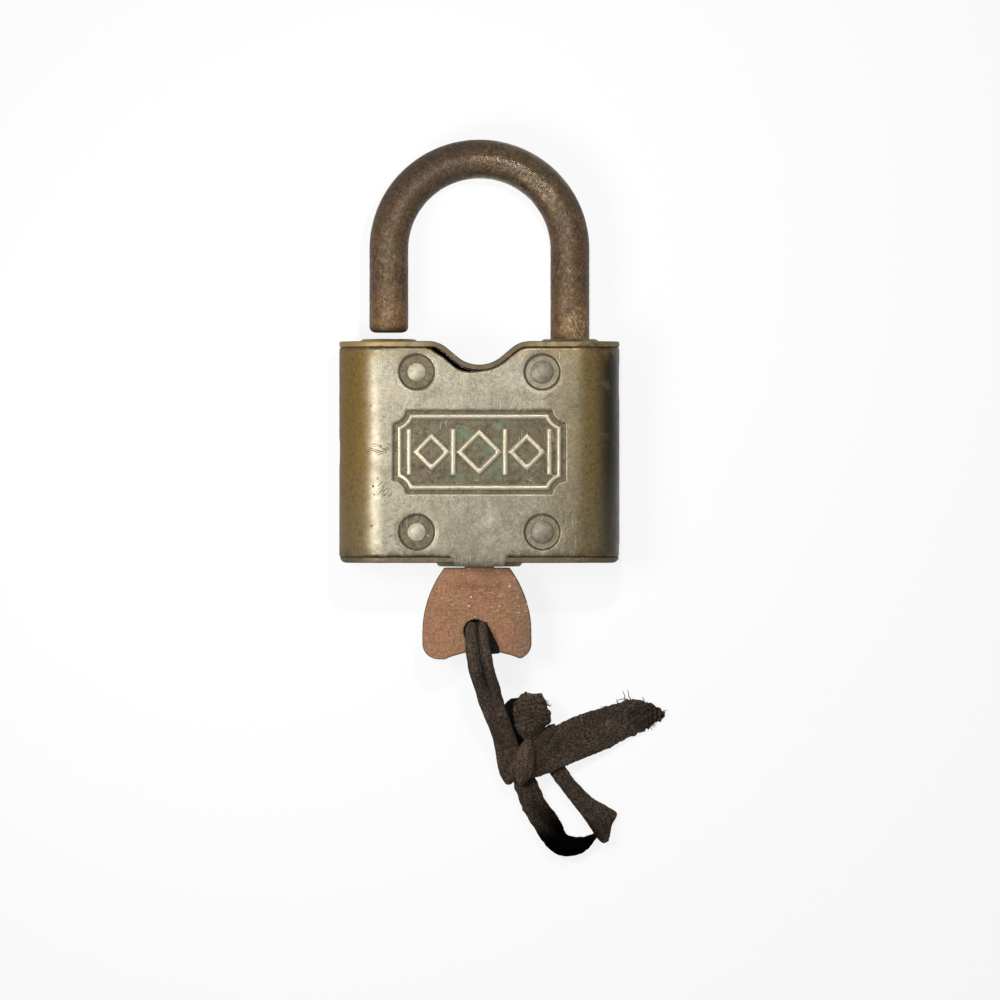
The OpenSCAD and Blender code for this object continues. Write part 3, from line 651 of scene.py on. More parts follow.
    def finish(self, metallic, roughness, normal=None, specular=0.5):
        """The finished material."""
        inputs = {"Base Color": self.colour, "Metallic": metallic, "Roughness": roughness}
        inputs["Specular IOR Level"] = specular
        if normal is not None:
            inputs["Normal"] = normal
        shader = self.node("ShaderNodeBsdfPrincipled", inputs)
        self.node("ShaderNodeOutputMaterial", {"Surface": shader.outputs["BSDF"]})
        return self.material


def scratches(f, size, turn, seed, low, high, patch=14.0):
    """Thin marks in one direction, only in some patches."""
    lines = f.patches(low, high, size, 3, 0.6, 0.15, turn, seed)
    return f.times(lines, f.patches(0.45, 0.6, patch, 2, 0.5, 0, 0, seed + 3))


def spot(f, x, y, middle_x, middle_y, half_x, half_y):
    """1 in the middle of a soft oval spot, 0 outside it."""
    across = f.math("DIVIDE", f.minus(x, middle_x), half_x)
    up = f.math("DIVIDE", f.minus(y, middle_y), half_y)
    return f.between(f.plus(f.times(across, across), f.times(up, up)), 1.0, 0.5)


def brass_material():
    """Worn, tarnished brass: grey-beige face, golden and olive patina, dark spots and scratches."""
    f = Finish("worn_brass")
    x, y = f.axis("X"), f.axis("Y")
    big, mid = f.noise(9, 5, 0.6), f.noise(2.2, 6, 0.65, seed=2)
    f.colour = f.tones(
        big, (0.30, 104, 97, 80), (0.45, 122, 116, 99), (0.58, 133, 127, 110), (0.72, 108, 100, 82)
    )
    # tarnish: golden brown round the left side; olive to dark brown over the right side, partly tarnish and
    # partly painted shade
    wavy_x = f.plus(x, f.times(big, 2.0))
    golden = f.times(f.between(wavy_x, *GOLDEN_X), f.between(mid, 0.15, 0.4, 0.8, 1.0))
    # painted shade: the metal painted darker where the lamp's highlight band falls on the left rounding
    f.paint((90, 82, 66), f.between(x, *HIGHLIGHT_SHADE_X), 0.45)
    f.paint((106, 82, 30), golden)
    f.paint((98, 87, 64), f.between(x, *OLIVE_X), f.between(mid, 0.2, 0.6, 0.5, 0.9))
    f.paint((104, 86, 50), f.between(x, *BROWN_X), f.between(mid, 0.2, 0.6, 0.7, 1.0))
    # painted shade: the far right side painted near-black, as it faces away from the light
    f.paint((26, 22, 8), f.between(x, *FAR_RIGHT_SHADE_X))
    from_middle = f.absolute(x)
    flat_face = f.between(from_middle, *FACE_X)
    # the face darker along its top and towards its bottom, with blotches and green near the foot
    f.paint((110, 90, 56), f.between(y, *FACE_TOP_Y), f.between(mid, 0.35, 0.6), 0.7)
    blotches = f.patches(0.56, 0.68, 4.5, 6, 0.7, 0.4, seed=5)
    f.paint((110, 94, 68), blotches, 0.45)
    f.paint((82, 87, 73), f.between(y, *FOOT_GREEN_Y), f.patches(0.42, 0.6, 3, 4, seed=6), 0.7)
    f.paint((100, 94, 79), f.between(y, *FACE_DARK_Y, 0.0, 0.3))
    f.mottle(0.55, 0.72, 1.14, 8)
    # dirt in the recesses, and worn metal on what stands up
    recess, raised = f.value("recess"), f.value("raised")
    grime = f.patches(0.3, 0.62, 1.0, 5, 0.7, seed=9)
    dark = f.mix(grime, rgb(48, 41, 30), rgb(86, 77, 58))
    f.colour = f.mix(f.times(recess, 0.9), f.colour, dark)
    # verdigris in the middle of the plaque
    middle = f.times(f.between(from_middle, 9, 3), f.between(f.absolute(y), 8, 5))
    f.paint((84, 104, 82), middle, f.patches(0.5, 0.62, 2.4, 4, 0.6, seed=10), recess, 0.5)
    f.paint((152, 144, 122), raised, f.between(mid, 0.3, 0.5, 0.6, 1.0))
    sides = f.most(golden, f.between(x, *STAINED_X))
    stains = f.patches(0.50, 0.62, 1.0, 6, 0.8, 0.3, seed=17)
    f.paint((52, 40, 20), sides, stains, 0.45)
    # dirt near the case's ends
    foot = f.most(f.between(y, *FOOT_Y), f.between(f.value("edge"), 0.4, 1.0))
    foot = f.times(foot, f.between(from_middle, TONGUE_W / 2 - 1, TONGUE_W / 2 + 1, 0.2, 1.0))
    f.paint((58, 46, 28), foot, f.patches(0.35, 0.6, 2.0, 5, 0.7, seed=11), 0.8)
    # scratches: upright fine ones, slanted ones, dark and bright
    fine = scratches(f, (0.18, 4.0, 3.0), 2, 20, 0.58, 0.66, 8)
    slant = scratches(f, (0.2, 3.4, 3.0), -38, 21, 0.60, 0.68, 8)
    other = scratches(f, (0.2, 3.4, 3.0), 62, 22, 0.60, 0.68, 8)
    level = scratches(f, (3.0, 0.18, 3.0), 6, 24, 0.61, 0.69, 7)
    dark_marks = scratches(f, (0.22, 2.6, 3.0), -20, 23, 0.63, 0.70, 6)
    bright = f.times(f.most(fine, slant, other, level), flat_face)
    # deeper dark scuffs left of the plaque
    scuff = f.between(f.noise((3.4, 0.2, 3.0), 3, 0.6, 0.1, -17, 26), 0.54, 0.62, 0.0, 0.8)
    scuff = f.times(scuff, spot(f, x, y, *SCUFF_SPOT))
    dashes = f.between(f.noise((3.0, 0.22, 3.0), 3, 0.6, 0.1, 42, 27), 0.56, 0.64, 0.0, 0.7)
    dashes = f.times(dashes, spot(f, x, y, *DASH_SPOT))
    dark_marks = f.most(f.times(dark_marks, flat_face), scuff, dashes)
    f.paint((190, 184, 164), bright, 0.6)
    f.paint((52, 43, 30), dark_marks, 0.85)
    # dark pits, most on the left side, and a few rust spots
    side = f.between(x, *PITTED_X, 0.4, 1.0)
    pits = f.times(f.between(f.cells(1.3, 4.0), 0.22, 0.10), f.patches(0.48, 0.62, 5, 3, seed=13), side)
    f.paint((38, 30, 20), pits, 0.9)
    f.paint((120, 74, 40), f.patches(0.66, 0.73, 3.0, 6, 0.75, seed=15), 0.6)
    rough = f.plus(
        f.between(mid, 0.3, 0.7, 0.32, 0.44), f.times(recess, 0.2),
        f.times(f.most(pits, blotches), 0.15), f.times(golden, 0.22),
    )
    marks = f.minus(f.times(mid, 0.4), f.most(bright, dark_marks))
    normal = f.bump(f.minus(marks, f.times(pits, 1.5)), 0.05)
    normal = f.bump(f.noise(0.4, 4, 0.75, seed=30), 0.022, normal)
    return f.finish(f.between(golden, 0.0, 1.0, 0.8, 0.5), rough, normal)


def steel_material(name, dark, middle, light, rust_amount, seed, dirty=False):
    """Dull grey steel with dirt and some rust. If dirty, its notch and foot are dark, its left end golden."""
    f = Finish(name)
    small = f.noise(1.6, 6, 0.65, seed=seed)
    f.colour = f.tones(small, (0.3, *dark), (0.5, *middle), (0.68, *light))
    if dirty:
        x, y = f.axis("X"), f.axis("Y")
        upper = f.between(y, *CAP_TOP_Y)
        f.paint((52, 43, 29), f.between(f.absolute(x), *CAP_NOTCH_X), upper, 0.65)
        f.paint((56, 52, 38), f.between(y, *CAP_FOOT_Y), 0.6)
        f.paint((142, 119, 74), f.between(x, *CAP_GOLDEN_X), upper, 0.7)
    rust = f.patches(0.66 - rust_amount, 0.76 - rust_amount, 2.6, 6, 0.7, 0.3, seed=seed + 4)
    f.paint((112, 76, 46), rust, 0.8)
    spots = f.between(f.cells(0.9, seed), 0.22, 0.10)
    f.paint((40, 34, 28), spots, f.between(small, 0.45, 0.55), 0.8)
    lines = scratches(f, (4.0, 0.14, 0.3), 0, seed + 7, 0.6, 0.7, 6)
    f.paint((170, 164, 150), lines, 0.45)
    rough = f.plus(f.between(small, 0.3, 0.7, 0.46, 0.62), f.times(rust, 0.2))
    normal = f.bump(f.plus(f.noise(0.5, 5, 0.7, seed=seed + 9), f.times(spots, -1.2)), 0.04)
    return f.finish(0.6, rough, normal)


def shackle_material():
    """Dark pitted steel with brown rust and purple-brown tints."""
    f = Finish("rusted_rod")
    x, y = f.axis("X"), f.axis("Y")
    big, mid = f.noise(8, 5, 0.6, 0.3, seed=40), f.noise(1.1, 6, 0.75, 0.3, seed=41)
    f.colour = f.tones(mid, (0.30, 34, 24, 15), (0.44, 68, 51, 34), (0.56, 94, 72, 49), (0.70, 126, 98, 66))
    f.paint((78, 54, 44), f.between(big, 0.52, 0.66), 0.5)
    f.paint((64, 58, 43), f.between(big, 0.46, 0.34), 0.5)
    f.paint((158, 126, 88), f.patches(0.62, 0.72, 0.7, 6, 0.75, seed=43), 0.5)
    f.paint((72, 62, 34), f.patches(0.50, 0.62, 5, 5, 0.65, 0.2, seed=42), 0.5)
    f.paint((50, 40, 34), f.between(y, *BEND_DARK_Y), f.between(x, *BEND_DARK_X), 0.5)
    f.paint((128, 96, 62), f.between(y, *LEG_RUST_Y), f.patches(0.30, 0.6, 2.4, 5, 0.7, seed=44), 0.6)
    f.mottle(0.4, 0.45, 1.4, 49)
    pits = f.times(f.between(f.cells(0.6, 45.0), 0.36, 0.12), f.patches(0.38, 0.54, 2.8, 3, seed=46))
    f.paint((20, 14, 10), pits, 0.9)
    # the chamfer of the toe is darker
    f.paint((44, 33, 24), f.between(y, *TOE_DARK_Y), f.between(x, *TOE_DARK_X), 0.55)
    # rubbed bright all over, and most at the long leg's foot
    rub = scratches(f, (0.2, 2.0, 0.4), 24, 47, 0.62, 0.72, 6)
    foot_marks = f.patches(0.50, 0.60, (0.3, 1.2, 0.6), 3, 0.6, 0.3, 30, 54)
    foot = f.times(spot(f, x, y, *LEG_FOOT_SPOT), foot_marks)
    f.paint((176, 156, 128), f.most(rub, foot), 0.5)
    rough = f.plus(f.between(f.noise(0.6, 4, 0.8, seed=50), 0.35, 0.65, 0.60, 0.38), f.times(pits, 0.2))
    # rubbed smoother on the bend's upper right
    rough = f.minus(rough, f.times(spot(f, x, y, *RUBBED_SPOT), 0.26))
    normal = f.bump(f.minus(mid, pits), 0.05)
    normal = f.bump(f.noise(0.4, 3, 0.8, seed=48), 0.07, normal)
    return f.finish(0.35, rough, normal, 0.3)


def key_material():
    """Orange-brown rust over flat steel, with faint level scratches and light specks."""
    f = Finish("rusted_key")
    x, y = f.axis("X"), f.axis("Y")
    big, mid = f.noise(6, 5, 0.6, 0.3, seed=60), f.noise(1.2, 7, 0.7, 0.3, seed=61)
    f.colour = f.tones(
        mid, (0.28, 110, 73, 50), (0.45, 138, 97, 70), (0.58, 151, 107, 77), (0.74, 164, 122, 88)
    )
    f.paint((136, 108, 72), f.between(big, 0.5, 0.64), 0.5)
    f.paint((142, 94, 76), f.between(big, 0.46, 0.34), 0.6)
    f.paint((118, 106, 90), f.patches(0.58, 0.68, 2.6, 6, 0.7, seed=62), 0.45)
    # darker towards the key's right
    f.paint((112, 86, 66), f.between(x, *KEY_DARKER_X), 0.75)
    f.mottle(0.5, 0.5, 1.3, 67)
    f.paint((84, 60, 44), f.between(y, *KEY_TOP_Y), f.between(mid, 0.2, 0.5), 0.25)
    # painted light: the key's top painted lighter, against the shadow that the case casts on it
    f.paint((190, 142, 108), f.between(y, *KEY_PAINTED_LIGHT_Y, 0.0, 0.5))
    specks = f.times(f.between(f.cells(0.5, 63.0), 0.28, 0.10), f.patches(0.48, 0.62, 2.0, 3, seed=64))
    f.paint((76, 50, 38), specks, 0.6)
    level = scratches(f, (2.4, 0.22, 1.0), 3, 68, 0.50, 0.60, 5)
    arcs = scratches(f, (1.8, 0.22, 1.0), 28, 69, 0.52, 0.62, 5)
    upper = f.between(y, *KEY_WORN_Y)
    lines = f.times(f.most(level, arcs), f.between(upper, 0, 1, 0.3, 1.0))
    f.paint((196, 156, 122), lines, 0.6)
    chips = f.times(f.between(f.cells(0.9, 70.0), 0.26, 0.14), f.patches(0.42, 0.54, 3.0, 3, seed=71))
    f.paint((238, 206, 172), chips, upper, 0.9)
    # painted shade: the key's rounded rim painted dark all round
    f.paint((44, 34, 30), f.value("edge"), 0.95)
    normal = f.bump(f.minus(f.plus(mid, f.times(lines, 0.5)), f.times(specks, 0.8)), 0.16)
    normal = f.bump(f.noise(0.35, 3, 0.8, seed=66), 0.08, normal)
    return f.finish(0.25, f.between(mid, 0.3, 0.7, 0.5, 0.7), normal, 0.35)


def cloth_material(name, weave):
    """Dark brown woven cotton, stained and worn, with painted shade in its folds, at its seam, under the knot
    and round the bow's bend, and a painted highlight on the knot's wrap. The fibres follow the tape's own
    length.
    """
    f = Finish(name)
    x, y = f.axis("X"), f.axis("Y")
    big, mid = f.noise(5, 4, 0.6, seed=80), f.noise(0.42, 3, 0.8, seed=81)
    f.colour = f.tones(
        mid, (0.34, 20, 16, 14), (0.45, 60, 50, 43), (0.55, 108, 93, 79), (0.68, 140, 122, 104)
    )
    f.paint((58, 42, 42), f.between(big, 0.5, 0.66), 0.5)
    f.paint((66, 58, 40), f.between(big, 0.46, 0.36), 0.4)
    # the long tail's torn end, streaked dark and purple
    torn = spot(f, x, y, *TORN_SPOT)
    f.paint((64, 46, 44), torn, 0.35)
    f.paint((18, 12, 12), torn, f.patches(0.44, 0.56, (2.4, 0.3, 1.0), 3, 0.6, 0.4, 32, 55), 0.75)
    if not weave:
        f.paint((84, 72, 60), 0.4)
        return f.finish(0.0, 0.8, specular=0.15)
    # painted shade: the bow's left limb painted darker and darker toward its bend, where it turns away from
    # the light, and the bottom of the bow's bend painted near-black too
    slanted = f.minus(x, f.times(f.plus(y, -LIMB_START_Y), LIMB_LEAN))
    limb = f.times(f.between(slanted, *LIMB_OUTER), f.between(y, *LIMB_Y))
    inner = f.between(slanted, *LIMB_INNER, 0.3, 1.0)
    darker_share = f.times(limb, inner, f.between(y, *LIMB_SHADE_Y, 0.2, 1.0))
    darker_share = f.most(darker_share, f.times(f.between(y, *TAPE_BEND_Y), f.between(x, *TAPE_BEND_X)))
    # painted shade and highlight: the cloth painted darker or lighter by the shade number stored at its
    # points
    dark, plain, bright = (0.03, 0.03, 0.03, 1), (0.75, 0.75, 0.75, 1), (1.5, 1.4, 1.3, 1)
    f.shade(f.ramp(f.value("shade"), (0.0, dark), (0.35, plain), (0.85, bright)))
    # the weave follows the tape, because its uv is in centimetres across and along it
    uv = f.node("ShaderNodeUVMap", uv_map="cloth").outputs["UV"]
    sides = f.node("ShaderNodeSeparateXYZ", {0: uv}).outputs
    across = f.math("SINE", f.times(sides["X"], 2 * math.pi * RIBS_PER_CM))
    along = f.math("SINE", f.times(sides["Y"], 2 * math.pi * PICKS_PER_CM))
    weft = f.times(across, along, 0.5)
    threads = f.node("ShaderNodeMapping", {"Vector": uv, "Scale": (0.03, 0.16, 1)}, vector_type="TEXTURE")
    inputs = {"Vector": threads.outputs["Vector"], "Scale": 1.0, "Detail": 3.0}
    long_grain = f.node("ShaderNodeTexNoise", inputs).outputs["Fac"]
    f.paint((22, 18, 15), f.between(long_grain, 0.35, 0.65, 0.45, 0.0))
    f.paint((112, 98, 84), f.between(weft, 0.0, 0.5), 0.25)
    # painted shadow: near-black where the bow's limbs turn away from the light
    f.paint((3, 3, 3), darker_share, 0.98)
    height = f.plus(f.times(weft, 0.6), f.plus(f.times(mid, 1.6), long_grain))
    return f.finish(0.0, 0.8, f.bump(height, 0.42), f.between(darker_share, 0.0, 0.8, 0.15, 0.0))


def plain_material(name, roughness, seen, seed):
    """The metal of a plain turned or stamped inner part, a little stained."""
    f = Finish(name)
    darker_share = f.noise(2.0, 5, 0.65, seed=seed)
    darker = (*(c * 0.6 for c in rgb(*seen)[:3]), 1.0)
    f.colour = f.mix(f.between(darker_share, 0.4, 0.65), rgb(*seen), darker)
    return f.finish(
        1.0,
        f.between(darker_share, 0.3, 0.7, roughness - 0.08, roughness + 0.12),
        f.bump(f.noise((3.0, 0.12, 0.12), 3, 0.6, seed=seed + 1), 0.01),
    )


def give(piece, material):
    """Makes the material the piece's only one."""
    piece.data.materials.clear()
    piece.data.materials.append(material)


BRASS = brass_material()
CAP_STEEL = steel_material("cap_steel", (62, 53, 34), (104, 90, 61), (132, 116, 82), 0.05, 100.0, True)
RIVET_BRIGHT = steel_material("rivet_bright", (112, 103, 85), (148, 140, 121), (174, 167, 148), -0.04, 120.0)
RIVET_DARK = steel_material("rivet_dark", (88, 81, 67), (114, 107, 92), (136, 129, 112), -0.02, 140.0)
SHACKLE = shackle_material()
KEY = key_material()
CLOTH = cloth_material("woven_tape", True)
THREAD = cloth_material("tape_thread", False)
PLUG = steel_material("plug_brass", (70, 60, 40), (110, 98, 68), (150, 134, 96), 0.02, 160.0)
INNER_STEEL = plain_material("inner_steel", 0.35, (168, 166, 160), 180.0)
INNER_BRASS = plain_material("inner_brass", 0.32, (196, 164, 96), 190.0)

give(tape, CLOTH)
give(fray, THREAD)

# ---------------------------------------------------------------- worn metal pieces


def worn_copy(node, body, material, voxel, rounding, pit, pit_size, seed):
    """A CAD piece with worn edges and pits of a depth and a size, all inside the CAD surface.

    voxel is the mesh's step, and rounding is how often its edges are smoothed.
    """
    copy = add_object(node + "_rough", NODES[node].data.copy())
    remesh = copy.modifiers.new("remesh", "REMESH")
    remesh.mode = "VOXEL"
    remesh.voxel_size = voxel * MM
    smooth = copy.modifiers.new("smooth", "SMOOTH")
    smooth.iterations = rounding
    smooth.factor = 0.5
    graph = bpy.context.evaluated_depsgraph_get()
    mesh = bpy.data.meshes.new_from_object(copy.evaluated_get(graph))
    bpy.data.objects.remove(copy)
    count = len(mesh.vertices)
    co, no = np.zeros(count * 3), np.zeros(count * 3)
    mesh.vertices.foreach_get("co", co)
    mesh.vertices.foreach_get("normal", no)
    co, no = co.reshape(-1, 3) / MM, no.reshape(-1, 3)
    coarse, fine = fractal(co, pit_size, 3, seed), noise3(co, pit_size * 0.25, seed + 9)
    depth = pit * smoothstep(0.45, 0.75, coarse) + 0.3 * pit * fine
    mesh.vertices.foreach_set("co", ((co - no * depth[:, None]) * MM).ravel())
    shade_smooth(mesh)
    piece = add_object(node + "_worn", mesh)
    # the rim is where the surface turns away from the piece's flat side
    low, high = box_mm(node)
    set_values(mesh, "edge", 1 - smoothstep(0.8, 0.997, np.abs(no[:, np.argmin(high - low)])))
    give(piece, material)
    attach(piece, body)
    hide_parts(node)
    return piece


# ---------------------------------------------------------------- the case's pressed sheet

NOTCH_DEPTH = 4.8
NOTCH_FLOOR_R = 8.0
NOTCH_SHOULDER_R = 4.6
NOTCH_SLOPE = math.radians(40)
WELL_R = 3.75
WELL_DEPTH, WELL_RIM = 0.8, 0.05
LEFT_WELL_DIRT, RIGHT_WELL_DIRT = 0.95, 0.35
PLAQUE_W, PLAQUE_H, SCOOP_R = 35.0, 17.0, 2.6
PLAQUE_DEPTH = 0.35
PRESS_SOFT = 0.1
BORDER_INSET, BORDER_W = 0.9, 0.8
LOZENGE_W, LOZENGE_STEP, LOZENGE_SHRINK = 6.6, 9.7, 1.2
PATTERN_LINE, BAR_H = 0.9, 9.4
BAR_PLACES = (-14.3, -5.3, 5.3, 14.3)
GAP_DEPTH, GAP_LEFT, GAP_RIGHT = 1.0, (-11.5, -8.0), (1.0, -5.0)
DENT, RIPPLE = 0.10, 0.05
# the sheet is stretched to its notch above the first of these heights, and to its tongue below the second
NOTCH_ZONE, FOOT_ZONE = 9.2, -20.4
EDGE_WEAR, EDGE_WEAR_W = 0.28, 0.55
RIVETS = [f"rivet_{level}_{side}" for level in ("upper", "lower") for side in ("left", "right")]
RIVET_PLACES = [sum(box_mm(rivet))[:2] / 2 for rivet in RIVETS]
# how many points round the flat front, round one side and up the sheet
FLAT_COLUMNS, SIDE_COLUMNS, SHEET_ROWS = 188, 46, 174


def notch_top(x):
    """The height of the sheet's top edge at x: floor arc, straight slope, shoulder arc."""
    s, c = math.sin(NOTCH_SLOPE), math.cos(NOTCH_SLOPE)
    both = NOTCH_FLOOR_R + NOTCH_SHOULDER_R
    line = (NOTCH_DEPTH - both * (1 - c)) / s
    half = both * s + line * c
    x = np.abs(x)
    floor = SHEET_TOP - NOTCH_DEPTH + NOTCH_FLOOR_R - np.sqrt(np.maximum(NOTCH_FLOOR_R**2 - x**2, 0))
    start = NOTCH_FLOOR_R * s
    slope = SHEET_TOP - NOTCH_DEPTH + NOTCH_FLOOR_R * (1 - c) + (x - start) * math.tan(NOTCH_SLOPE)
    shoulder = SHEET_TOP - NOTCH_SHOULDER_R + np.sqrt(np.maximum(NOTCH_SHOULDER_R**2 - (half - x) ** 2, 0))
    end = half - NOTCH_SHOULDER_R * s
    return np.where(x < start, floor, np.where(x < end, slope, np.where(x < half, shoulder, SHEET_TOP)))


def plaque_edge(x, y, inset):
    """Distance inside the scooped plaque outline, above 0 inside."""
    box = np.minimum(PLAQUE_W / 2 - inset - np.abs(x), PLAQUE_H / 2 - inset - np.abs(y))
    corner = np.hypot(PLAQUE_W / 2 - np.abs(x), PLAQUE_H / 2 - np.abs(y)) - SCOOP_R - inset
    return np.minimum(box, corner)


def soft_step(distance):
    """0 outside a pressed edge and 1 inside it."""
    return smoothstep(-PRESS_SOFT, PRESS_SOFT, distance)


def front_relief(x, y):
    """(depth below the flat face, recess share, raised share) of the pressed front."""
    inside = soft_step(plaque_edge(x, y, 0))
    raised = soft_step(plaque_edge(x, y, BORDER_INSET))
    raised = raised * soft_step(-plaque_edge(x, y, BORDER_INSET + BORDER_W))
    for i in (-1, 0, 1):
        side = LOZENGE_W - abs(i) * LOZENGE_SHRINK
        away = (np.abs(x - i * LOZENGE_STEP) + np.abs(y)) / math.sqrt(2)
        ring = soft_step(side / 2 - away) * soft_step(away - side / 2 + PATTERN_LINE)
        raised = np.maximum(raised, ring)
    for place in BAR_PLACES:
        inside_bar = np.minimum(PATTERN_LINE / 2 - np.abs(x - place), BAR_H / 2 - np.abs(y))
        raised = np.maximum(raised, soft_step(inside_bar))
    recess = inside * (1 - raised)
    return PLAQUE_DEPTH * recess, recess, raised * inside


def well_relief(x, y):
    """(depth, share) of the round wells at the rivets, with a soft pressed rim."""
    depth, share = np.zeros_like(x), np.zeros_like(x)
    for cx, cy in RIVET_PLACES:
        r = np.hypot(x - cx, y - cy)
        cut = 1 - smoothstep(WELL_R - 0.35, WELL_R + 0.05, r)
        rim = WELL_RIM * (1 - smoothstep(0, 0.5, np.abs(r - WELL_R - 0.3)))
        depth = np.maximum(depth, (WELL_DEPTH - WELL_RIM) * cut + rim * (1 - cut))
        share = np.maximum(share, cut)
    return depth, share


def sheet_faces(rows, count):
    """Faces of the sheet's outer side, row by row, then of its inner side and its two cut ends."""
    faces = []
    low, high, last = rows * count, rows * count + count, (rows - 1) * count
    around = [(k, (k + 1) % count) for k in range(count)]
    for i in range(0, last, count):
        faces += [(i + k, i + count + k, i + count + n, i + n) for k, n in around]
    for k, n in around:
        faces.append((low + n, high + n, high + k, low + k))
        faces.append((k, n, low + n, low + k))
        faces.append((last + n, last + k, high + k, high + n))
    return faces


def add_case_sheet():
    """The wrapped sheet as one closed wall, with its pressed relief, dents and worn edges."""
    radius = CASE_T / 2
    flat = CASE_HIGH[0] - radius
    front = np.linspace(flat, -flat, FLAT_COLUMNS)
    arc = np.linspace(0, math.pi, SIDE_COLUMNS)[1:-1]
    # stations round the section, from the front's right end over the left side to the back and the right side
    x = np.concatenate([front, -flat - radius * np.sin(arc), front[::-1], flat + radius * np.sin(arc)])
    z = np.concatenate([
        np.full_like(front, CASE_T), MID_Z + radius * np.cos(arc),
        np.zeros_like(front), MID_Z - radius * np.cos(arc),
    ])
    on_side = np.abs(x) > flat
    nx = np.where(on_side, (x - np.sign(x) * flat) / radius, 0)
    nz = np.where(on_side, (z - MID_Z) / radius, np.sign(z - MID_Z))
    is_front = (z >= CASE_T - 1e-6).astype(float)
    is_back = (z <= 1e-6).astype(float)
    # the dark gap under the cap in the notch's left half, and the tongue over the key
    top = notch_top(x) - is_front * GAP_DEPTH * smoothstep(*GAP_LEFT, x) * smoothstep(*GAP_RIGHT, x)
    tongue = is_front * smoothstep(TONGUE_W / 2 + 0.9, TONGUE_W / 2 - 0.3, np.abs(x))
    bottom = SHEET_BOTTOM + (TONGUE_END - SHEET_BOTTOM) * tongue
    level = np.linspace(SHEET_BOTTOM, SHEET_TOP, SHEET_ROWS)[:, None]
    to_top = np.clip((level - NOTCH_ZONE) / (SHEET_TOP - NOTCH_ZONE), 0, 1)
    to_foot = np.clip((FOOT_ZONE - level) / (FOOT_ZONE - SHEET_BOTTOM), 0, 1)
    y = level + (top - SHEET_TOP) * to_top + (bottom - SHEET_BOTTOM) * to_foot
    xs, zs = np.broadcast_to(x, y.shape), np.broadcast_to(z, y.shape)
    deep, recess, raised = front_relief(xs, y)
    well, in_well = well_relief(xs, y)
    depth = is_front * (deep + well) + is_back * well
    well_dirt = np.where(xs < 0, LEFT_WELL_DIRT, RIGHT_WELL_DIRT) * in_well
    recess = is_front * np.maximum(recess, well_dirt) + is_back * well_dirt
    place = np.stack([xs, y, zs], axis=-1)
    # shallow dents, and edges worn down to a small round
    depth = depth + DENT * smoothstep(0.55, 0.8, fractal(place, 8, 2, 3)) + RIPPLE * fractal(place, 2.2, 3, 4)
    to_end = np.minimum(top - y, y - bottom)
    depth = depth + EDGE_WEAR * (1 - smoothstep(0, EDGE_WEAR_W, to_end)) ** 2
    end = 1 - smoothstep(0.1, 1.6, to_end)
    outer = place - depth[..., None] * np.stack([nx, np.zeros_like(nx), nz], axis=-1)
    inner = [np.stack([x - SHEET_T * nx, end_y, z - SHEET_T * nz], axis=-1) for end_y in (bottom, top)]
    points = np.vstack([outer.reshape(-1, 3), *inner])
    named = {"recess": recess, "raised": is_front * raised, "edge": end}
    values = {name: np.append(value.ravel(), np.zeros(2 * len(x))) for name, value in named.items()}
    piece = add_mesh("case_sheet", points, sheet_faces(SHEET_ROWS, len(x)), values=values)
    give(piece, BRASS)
    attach(piece, "case")
    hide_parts("case_shell")
    return piece


# ---------------------------------------------------------------- shackle and lift spring

ROD_R, NECK_R, HEEL_END_R = 4.0, 2.6, 3.7
TOE_Y = CAP_TOP + 1.8
TOE_ROUND = 1.2
# where the neck that the bolt catches starts and ends, above the heel's end
NECK_LOW, NECK_HIGH = 3.0, 17.2
ROD_STEP, ROD_SIDES = 0.27, 96


def add_shackle():
    """The bent rod, toe to heel, with a pitted surface that stays inside the true rod."""
    leg = SHACKLE_HIGH[0] - ROD_R
    bend_y = SHACKLE_HIGH[1] - leg - ROD_R
    heel_y = SHACKLE_LOW[1]
    rows = []

    def station(x, y, r, ahead_x, ahead_y):
        """One ring of the rod: its middle, its radius and the way it faces."""
        rows.append((x, y, MID_Z, r, ahead_x, ahead_y, 0))

    for s in (0.0, 0.12, 0.35, 0.65, 0.95):
        # the toe's rounded end
        bulge = TOE_ROUND * math.sqrt(1 - (1 - s) ** 2)
        station(-leg, TOE_Y + TOE_ROUND * s, ROD_R - TOE_ROUND + bulge, 0, 1)
    for y in np.arange(TOE_Y + TOE_ROUND, bend_y, ROD_STEP):
        station(-leg, y, ROD_R, 0, 1)
    for a in np.linspace(math.pi, 0, int(math.pi * leg / ROD_STEP)):
        station(leg * math.cos(a), bend_y + leg * math.sin(a), ROD_R, math.sin(a), -math.cos(a))
    for y in np.arange(bend_y - ROD_STEP, heel_y, -ROD_STEP):
        station(leg, y, NECK_R if NECK_LOW < y - heel_y < NECK_HIGH else ROD_R, 0, -1)
    station(leg, heel_y, HEEL_END_R, 0, -1)
    rows = np.array(rows)
    line, radius, ahead = rows[:, None, :3], rows[:, None, 3:4], rows[:, 4:]
    angle = (np.arange(ROD_SIDES) * 2 * math.pi / ROD_SIDES)[None, :, None]
    out = np.cos(angle) * np.cross(ahead, UP)[:, None, :] + np.sin(angle) * UP
    points = line + radius * out
    rough = smoothstep(0.5, 0.8, fractal(points, 1.6, 3, 50)) * 0.05 + 0.05 * fractal(points, 5, 2, 51)
    rough = rough + 0.05 * smoothstep(0.66, 0.86, noise3(points, 0.8, 52)) + 0.02 * noise3(points, 0.3, 53)
    points = points - rough[..., None] * out
    faces = [tuple(reversed(f)) for f in ring_faces(len(rows), ROD_SIDES)]
    piece = add_mesh("shackle_rod", points.reshape(-1, 3), faces)
    give(piece, SHACKLE)
    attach(piece, "shackle")
    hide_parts("shackle")
    return piece


